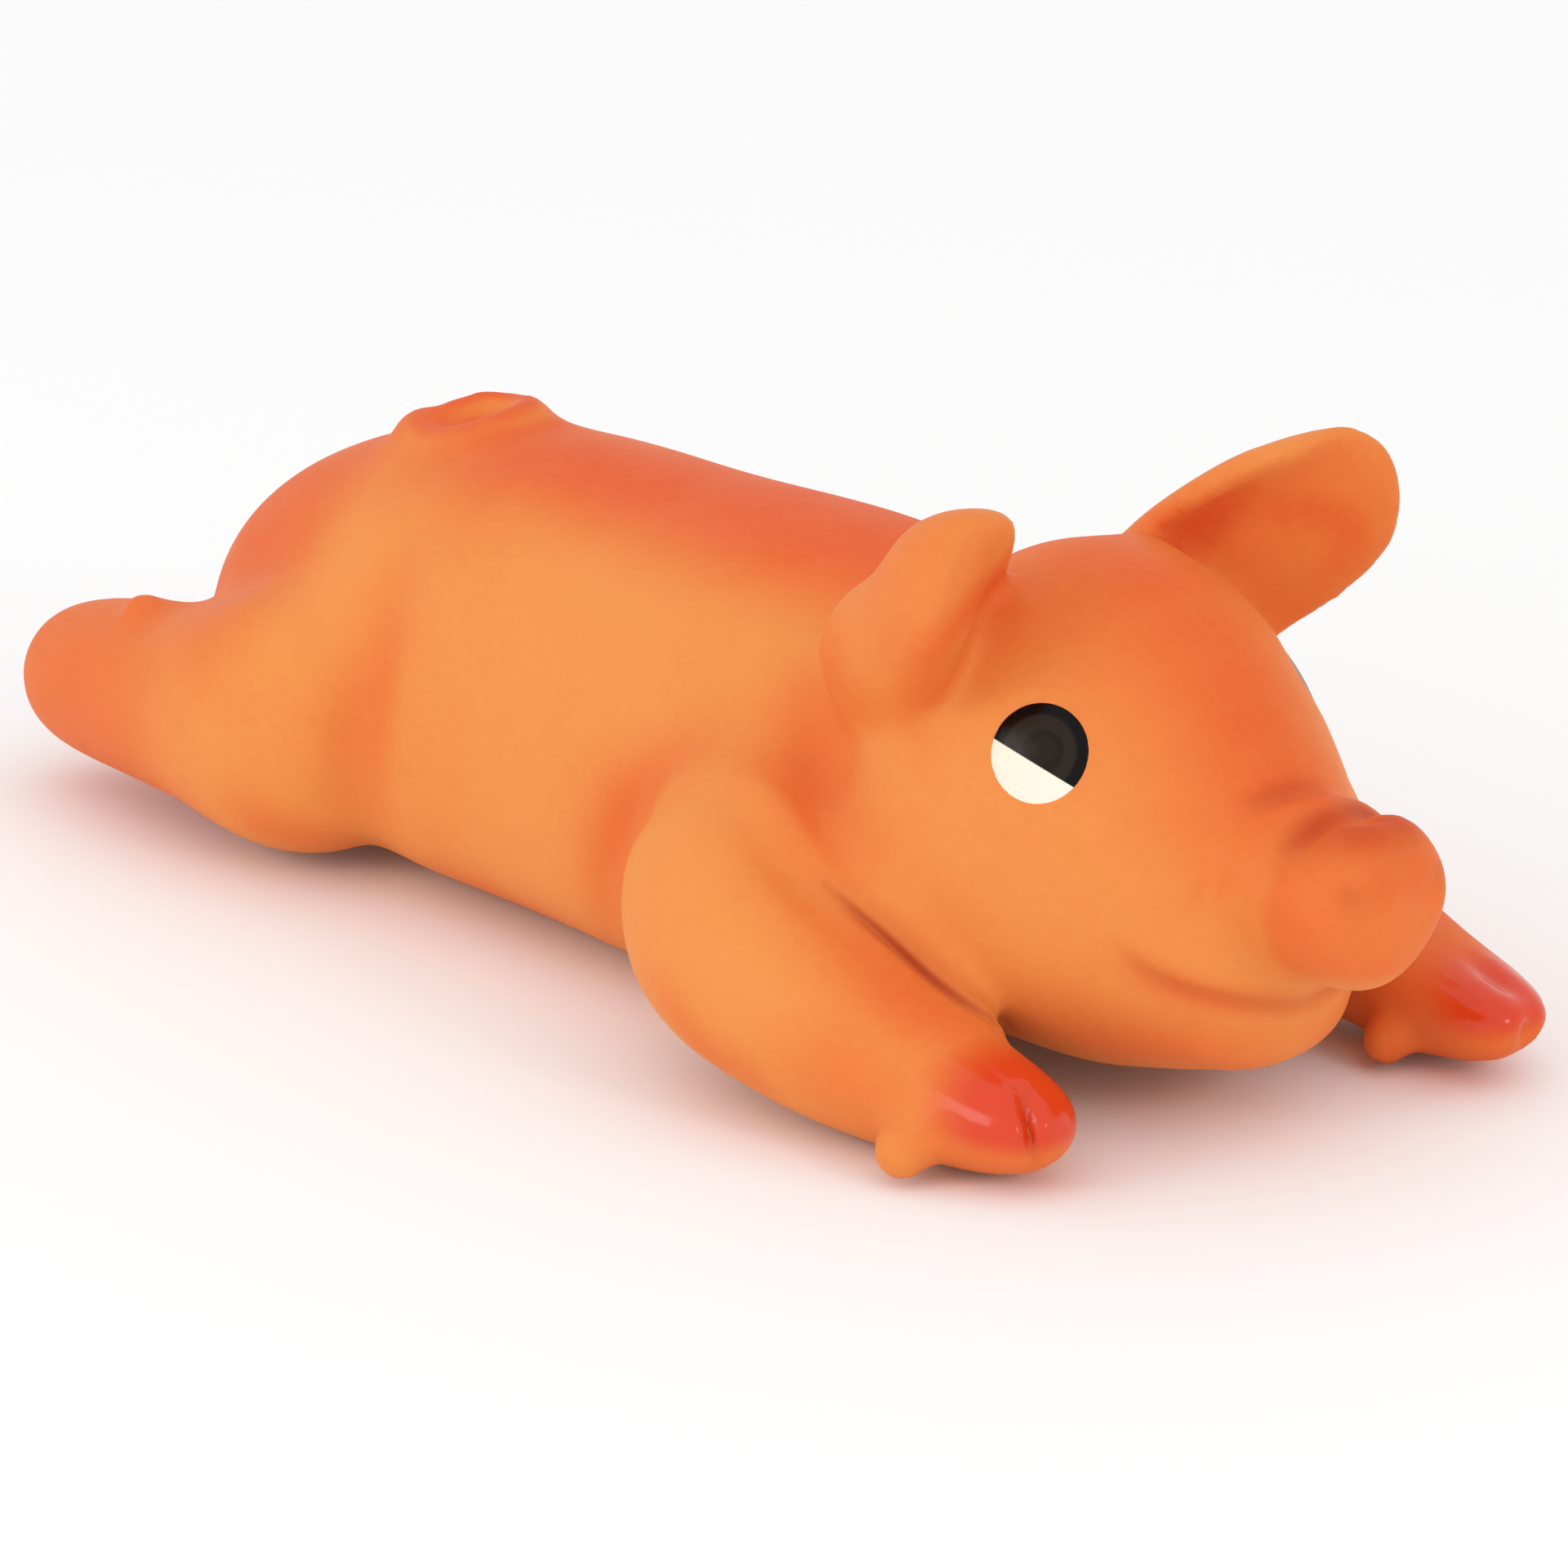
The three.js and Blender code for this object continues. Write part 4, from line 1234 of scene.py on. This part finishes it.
def wadding_look(tree):
    """Matted polyester: stretched noise for its fibres, over its own lumps."""
    fine, mottle = grain(tree, 1400)
    along = {"Scale": (1, 1, 6), "Rotation": (0.9, 0.4, 0), "Vector": own_place(tree)}
    stretched = add_node(tree, "ShaderNodeMapping", along).outputs["Vector"]
    matted = {"Scale": 500, "Detail": 6, "Distortion": 1.2, "Vector": stretched}
    fibre = add_node(tree, "ShaderNodeTexNoise", matted).outputs["Fac"]
    tone = band(tree, fibre, 0.35, 0.65)
    return {
        "Base Color": mix_colour(tree, tone, (0.66, 0.65, 0.6, 1), colours().wadding),
        "Roughness": band(tree, mottle, 0.2, 0.8, (0.85, 1)),
        "Sheen Weight": 0.4,
        "Normal": bump(tree, maths(tree, "ADD", fibre, fine), 0.6, 0.8),
    }


def brass_look(tree):
    """Drawn brass with scratches along it."""
    fine, mottle = grain(tree, 4000)
    return {
        "Base Color": mix_colour(tree, mottle, (0.5, 0.33, 0.11, 1), (0.8, 0.58, 0.25, 1)),
        "Roughness": band(tree, fine, 0.2, 0.8, (0.22, 0.4)),
        "Metallic": 1,
        "Normal": bump(tree, fine, 0.15, 0.05),
    }


# Stage, in metres: the floor's side, the lamps' names, places, sizes and powers, and where they aim
FLOOR_SIDE = 6
FLOOR_PAINT = {"Base Color": (0.98, 0.98, 0.98, 1), "Roughness": 0.8}
LAMPS = (("key", (-0.1, -0.95, 0.42), 0.4, 1.45), ("front", (1.03, 0, 0.51), 0.2, 1.0))
LAMP_TARGET = (0, 0, 0.03)
ROOM_LIGHT = 0.945
SENSOR_WIDTH = 36


def area_light(name, place, size, power):
    lamp = added(name, bpy.ops.object.light_add, type="AREA", location=place)
    lamp.data.size = size
    lamp.data.energy = power
    lamp.rotation_euler = (Vector(LAMP_TARGET) - lamp.location).to_track_quat("-Z", "Y").to_euler()


def make_floor():
    floor = added("floor", bpy.ops.mesh.primitive_plane_add, size=FLOOR_SIDE)
    dress(floor, new_material("pale_floor", lambda tree: FLOOR_PAINT))


def make_camera():
    back = photo_axes()[0]
    place = PHOTO_TARGET + back * PHOTO_DISTANCE
    camera = added("photo_camera", bpy.ops.object.camera_add, location=place)
    camera.rotation_euler = (-back).to_track_quat("-Z", "Y").to_euler()
    camera.data.sensor_width = SENSOR_WIDTH
    camera.data.lens = SENSOR_WIDTH * PHOTO_LENS
    camera.data.shift_x = -PHOTO_SHIFT[0] / PHOTO_SIDE
    camera.data.shift_y = PHOTO_SHIFT[1] / PHOTO_SIDE
    bpy.context.scene.camera = camera


def make_stage():
    make_floor()
    for lamp in LAMPS:
        area_light(*lamp)
    world = bpy.data.worlds.new("pale_room")
    bpy.context.scene.world = world
    world.use_nodes = True
    room = world.node_tree.nodes["Background"]
    fill(world.node_tree, room, {"Color": (1, 1, 1, 1), "Strength": ROOM_LIGHT})
    bpy.context.scene.view_settings.view_transform = "Standard"
    make_camera()


def squeezed(piece):
    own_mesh(piece)


def voiced(piece):
    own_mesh(piece)


# Pieces, step by step. Of each plain material: light tone, dark tone, scale of the grain, and roughness
PLUG_LATEX = ((0.87, 0.29, 0.068, 1), (0.8, 0.22, 0.05, 1), 900, (0.5, 0.65))
VINYL = ((0.82, 0.82, 0.78, 1), (0.72, 0.72, 0.67, 1), 1200, (0.35, 0.5))
STEEL = ((0.56, 0.57, 0.58, 1), (0.4, 0.41, 0.42, 1), 3000, (0.22, 0.38), 1.0)
PLASTIC = ((0.86, 0.86, 0.84, 1), (0.8, 0.8, 0.77, 1), 1500, (0.32, 0.45))


class PIGTOY_OT_skin(bpy.types.Operator):
    """Moulds the pig's latex skin in one piece"""

    bl_idname = "pigtoy.skin"
    bl_label = "Latex Skin"

    def execute(self, context):
        skin = make_skin()
        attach(skin, "pig")
        legs = ("left_foreleg", "right_foreleg", "left_hind_leg", "right_hind_leg")
        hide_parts("body_skin", "head_skin", "left_ear", "right_ear", "tail", *legs)
        squeezed(skin)
        return {"FINISHED"}


class PIGTOY_OT_eyes(bpy.types.Operator):
    """Enamels the two eyes on the head"""

    bl_idname = "pigtoy.eyes"
    bl_label = "Eyes"

    def execute(self, context):
        for eye, node in zip(make_eyes(), ("right_eye", "left_eye")):
            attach(eye, "pig")
            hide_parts(node)
            squeezed(eye)
        return {"FINISHED"}


class PIGTOY_OT_wadding(bpy.types.Operator):
    """Stuffs the body, the head and the legs"""

    bl_idname = "pigtoy.wadding"
    bl_label = "Wadding"

    def execute(self, context):
        lumps = bpy.data.textures.new("lumps", "CLOUDS")
        lumps.noise_scale = 7 * MM
        material = new_material("matted_wadding", wadding_look)
        for part in WADDED:
            wadding = make_wadding(part, lumps, material)
            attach(wadding, "pig")
            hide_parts(part + "_filling")
            squeezed(wadding)
        return {"FINISHED"}


class PIGTOY_OT_plug(bpy.types.Operator):
    """Closes the belly's filling hole with its plug"""

    bl_idname = "pigtoy.plug"
    bl_label = "Belly Plug"

    def execute(self, context):
        plug = make_plug()
        dress(plug, new_material("moulded_latex", plain_look, *PLUG_LATEX))
        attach(plug, "pig")
        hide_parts("belly_plug")
        return {"FINISHED"}


class PIGTOY_OT_voice(bpy.types.Operator):
    """Makes the voice unit's bellows and spring, and finishes its plates and reed"""

    bl_idname = "pigtoy.voice"
    bl_label = "Voice Unit"

    def execute(self, context):
        bellows, spring = make_bellows(), make_spring()
        soft = new_material("bellows_vinyl", plain_look, *VINYL)
        steel = new_material("spring_wire", plain_look, *STEEL)
        white = new_material("moulded_plastic", plain_look, *PLASTIC)
        brass = new_material("drawn_brass", brass_look)
        for piece, material, node, slot in (
            (bellows, soft, "voice_bellows", "bellows_plastic"),
            (spring, steel, "voice_spring", "spring_steel"),
        ):
            dress(piece, material)
            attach(piece, "pig")
            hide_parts(node)
            voiced(piece)
        for node, material in (
            ("voice_base", white),
            ("voice_top", white),
            ("reed_block", white),
            ("reed_tongue", brass),
            ("reed_clip", brass),
        ):
            for spot in bpy.data.objects[node].material_slots:
                spot.material = material
        return {"FINISHED"}


class PIGTOY_OT_stage(bpy.types.Operator):
    """Sets the floor, the lights and the camera"""

    bl_idname = "pigtoy.stage"
    bl_label = "Floor, Light and Camera"

    def execute(self, context):
        make_stage()
        return {"FINISHED"}


STEPS = (
    PIGTOY_OT_skin,
    PIGTOY_OT_eyes,
    PIGTOY_OT_wadding,
    PIGTOY_OT_plug,
    PIGTOY_OT_voice,
    PIGTOY_OT_stage,
)


class PIGTOY_PT_parts(bpy.types.Panel):
    """Lists the pig's pieces in the order of their making"""

    bl_idname = "PIGTOY_PT_parts"
    bl_label = "Latex Pig"
    bl_space_type = "VIEW_3D"
    bl_region_type = "UI"
    bl_category = "Pig Toy"

    def draw(self, context):
        layout = self.layout
        for group in (context.scene.pig_sizes, context.scene.pig_colours):
            for name in group.__annotations__:
                layout.prop(group, name)
        for step in STEPS:
            layout.operator(step.bl_idname)


CLASSES = (PigSizes, PigColours, *STEPS, PIGTOY_PT_parts)


def register():
    for item in CLASSES:
        bpy.utils.register_class(item)
    bpy.types.Scene.pig_sizes = bpy.props.PointerProperty(type=PigSizes)
    bpy.types.Scene.pig_colours = bpy.props.PointerProperty(type=PigColours)


def unregister():
    del bpy.types.Scene.pig_colours
    del bpy.types.Scene.pig_sizes
    for item in reversed(CLASSES):
        bpy.utils.unregister_class(item)


def main():
    register()
    bpy.ops.pigtoy.skin()
    bpy.ops.pigtoy.eyes()
    bpy.ops.pigtoy.wadding()
    bpy.ops.pigtoy.plug()
    bpy.ops.pigtoy.voice()
    bpy.ops.pigtoy.stage()


if __name__ == "__main__":
    main()
